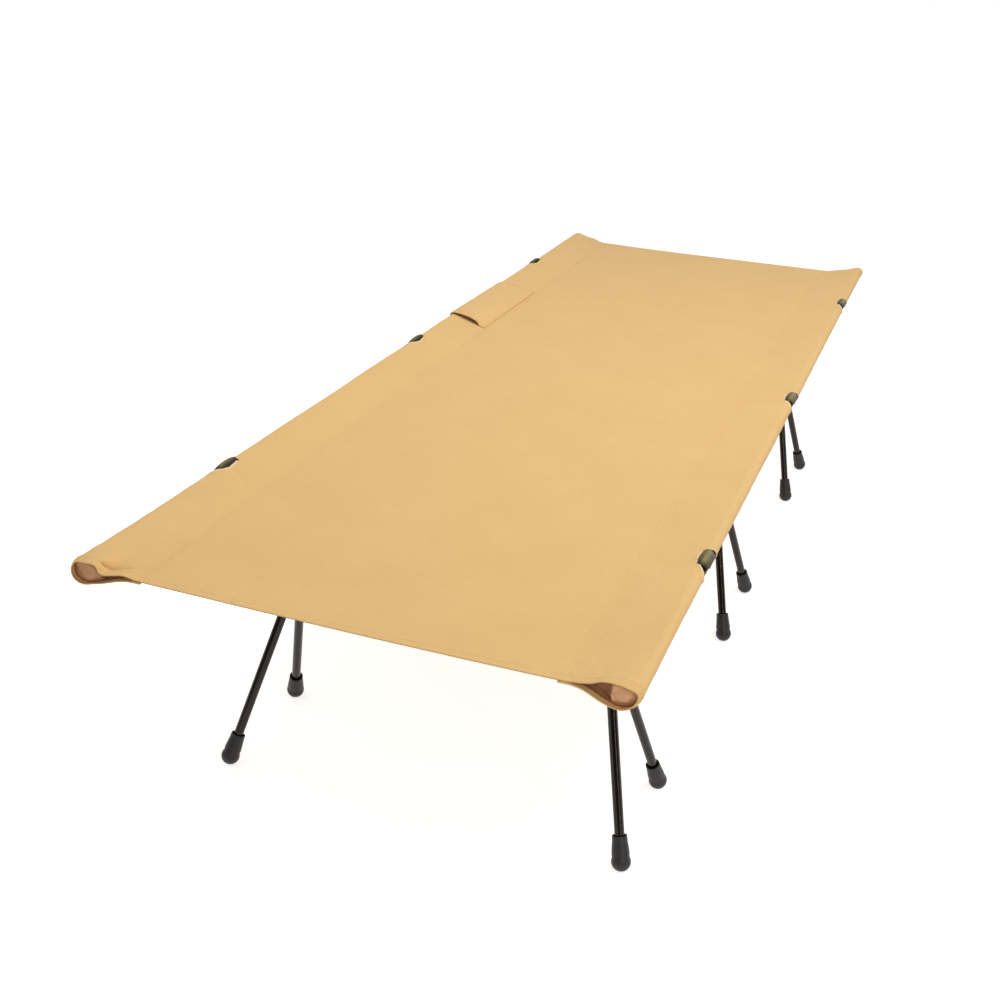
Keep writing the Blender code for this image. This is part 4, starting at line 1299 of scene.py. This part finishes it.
for side, sideName in sides:
    x = side * bed["poleX"]
    pole = "side_pole_" + sideName
    addPiece(pole + "_tube", poleMesh(x), oliveTube, "cot", [pole])
    for end, endName in ends:
        cap = "pole_cap_" + endName + "_" + sideName
        addPiece(cap + "_moulding", capMesh(x, end), nylon, "cot", [cap])
print("side poles in")


# Floor, light and camera

studio = {"worldLight": 0.46, "floorSize": 40.0, "floorGlow": 0.69}
frontFlag = {"radius": 4.6, "low": 0.02, "high": 1.75, "fromDeg": -165, "toDeg": 5}
farFlag = {"radius": 4.6, "low": 0.85, "high": 3.20, "fromDeg": 70, "toDeg": 150}


def seenOrMirrored(tree):
    # 1 for what the camera sees, straight or by way of a mirror or glass, and 0 for light on the cot
    rays = addNode(tree, "LightPath").outputs
    isSeen = maths(tree, "MAXIMUM", rays["Is Camera Ray"], rays["Is Glossy Ray"])
    return maths(tree, "MAXIMUM", isSeen, rays["Is Transmission Ray"])


def makeFloor():
    bm = bmesh.new()
    bmesh.ops.create_grid(bm, x_segments=1, y_segments=1, size=studio["floorSize"] / 2)
    floor = addObject("floor", toMesh(bm, "floor"))
    finish = {"Roughness": 0.9, "Base Color": "#ebedef", "Specular IOR Level": 0.0}
    material, tree, shader = newMaterial("white floor", finish)
    # Where it is seen or mirrored it also glows, so that it is white but for the cot's own shadow
    glow = maths(tree, "MULTIPLY", seenOrMirrored(tree), studio["floorGlow"])
    white = addNode(tree, "Emission", {"Color": (1, 1, 1, 1), "Strength": glow})
    both = addNode(tree, "AddShader", {0: shader.outputs[0], 1: white.outputs[0]})
    tree.links.new(both.outputs[0], tree.nodes["Material Output"].inputs["Surface"])
    floor.data.materials.append(material)


def makeFlag(name, f):
    # A dark curved flag that only reflections meet, as a black cloth in a studio: the one behind the
    # camera gives the glossy legs their black, and the one beyond the cot keeps the clips' crowns dark
    bm = bmesh.new()
    start = math.radians(f["fromDeg"])
    x, y = f["radius"] * math.cos(start), f["radius"] * math.sin(start)
    upright = [bm.verts.new((x, y, z)) for z in (f["low"], f["high"])]
    bmesh.ops.spin(
        bm, geom=[*upright, bm.edges.new(upright)], cent=(0, 0, 0), axis=(0, 0, 1), dvec=(0, 0, 0),
        angle=math.radians(f["toDeg"] - f["fromDeg"]), steps=24, use_merge=False, use_duplicate=False
    )
    card = addObject(name, toMesh(bm, name))
    felt = {"Base Color": "#101010", "Roughness": 1.0, "Specular IOR Level": 0.0}
    card.data.materials.append(newMaterial("black felt", felt)[0])
    card.visible_camera = card.visible_diffuse = card.visible_shadow = False


def makeWorld():
    world = bpy.data.worlds.new("studio")
    world.use_nodes = True
    tree = world.node_tree
    background = tree.nodes["Background"]
    links = {"Value": seenOrMirrored(tree), "To Min": studio["worldLight"], "To Max": 1.0}
    strength = addNode(tree, "MapRange", links)
    background.inputs["Color"].default_value = (1.0, 1.0, 1.0, 1.0)
    tree.links.new(strength.outputs["Result"], background.inputs["Strength"])
    scene.world = world


def softbox(name, place, target, size, power):
    lamp = bpy.data.lights.new(name, "AREA")
    lamp.shape = "RECTANGLE"
    lamp.size, lamp.size_y = size
    lamp.energy = power
    direction = Vector(target) - Vector(place)
    turn = direction.to_track_quat("-Z", "Y").to_matrix().to_4x4()
    addObject(name, lamp).matrix_world = Matrix.Translation(place) @ turn


# The camera's place, and the ways of its picture's right, its top and its back
viewpoint = {
    "lens": 47.858, "place": (0.5670, -2.0664, 1.1121), "right": (0.93602, 0.34925, 0.04341),
    "top": (-0.18007, 0.36928, 0.91171), "back": (0.30239, -0.86119, 0.40854),
}


def makeCamera():
    camera = bpy.data.cameras.new("camera")
    camera.lens = viewpoint["lens"]
    camera.sensor_width = 36.0
    camera.clip_end = 60.0
    turn = Matrix([viewpoint[way] for way in ("right", "top", "back")]).transposed().to_4x4()
    scene.camera = addObject("camera", camera)
    scene.camera.matrix_world = Matrix.Translation(viewpoint["place"]) @ turn


makeFloor()
makeFlag("front flag", frontFlag)
makeFlag("far flag", farFlag)
makeWorld()
softbox("key", (0.50, 0.0, 2.50), (0.05, 0.0, 0.4), (1.6, 1.6), 30.5)
softbox("front fill", (1.90, -3.20, 2.2), (0.30, -0.95, 0.35), (1.2, 0.9), 12)
softbox("right strip", (1.98, -2.15, 0.70), (0.28, -0.65, 0.30), (0.06, 1.10), 6.5)
softbox("left strip", (-2.30, -1.90, 0.80), (-0.28, -0.65, 0.30), (0.10, 1.20), 1.8)
makeCamera()
scene.view_settings.view_transform = "Standard"
print("stage set")
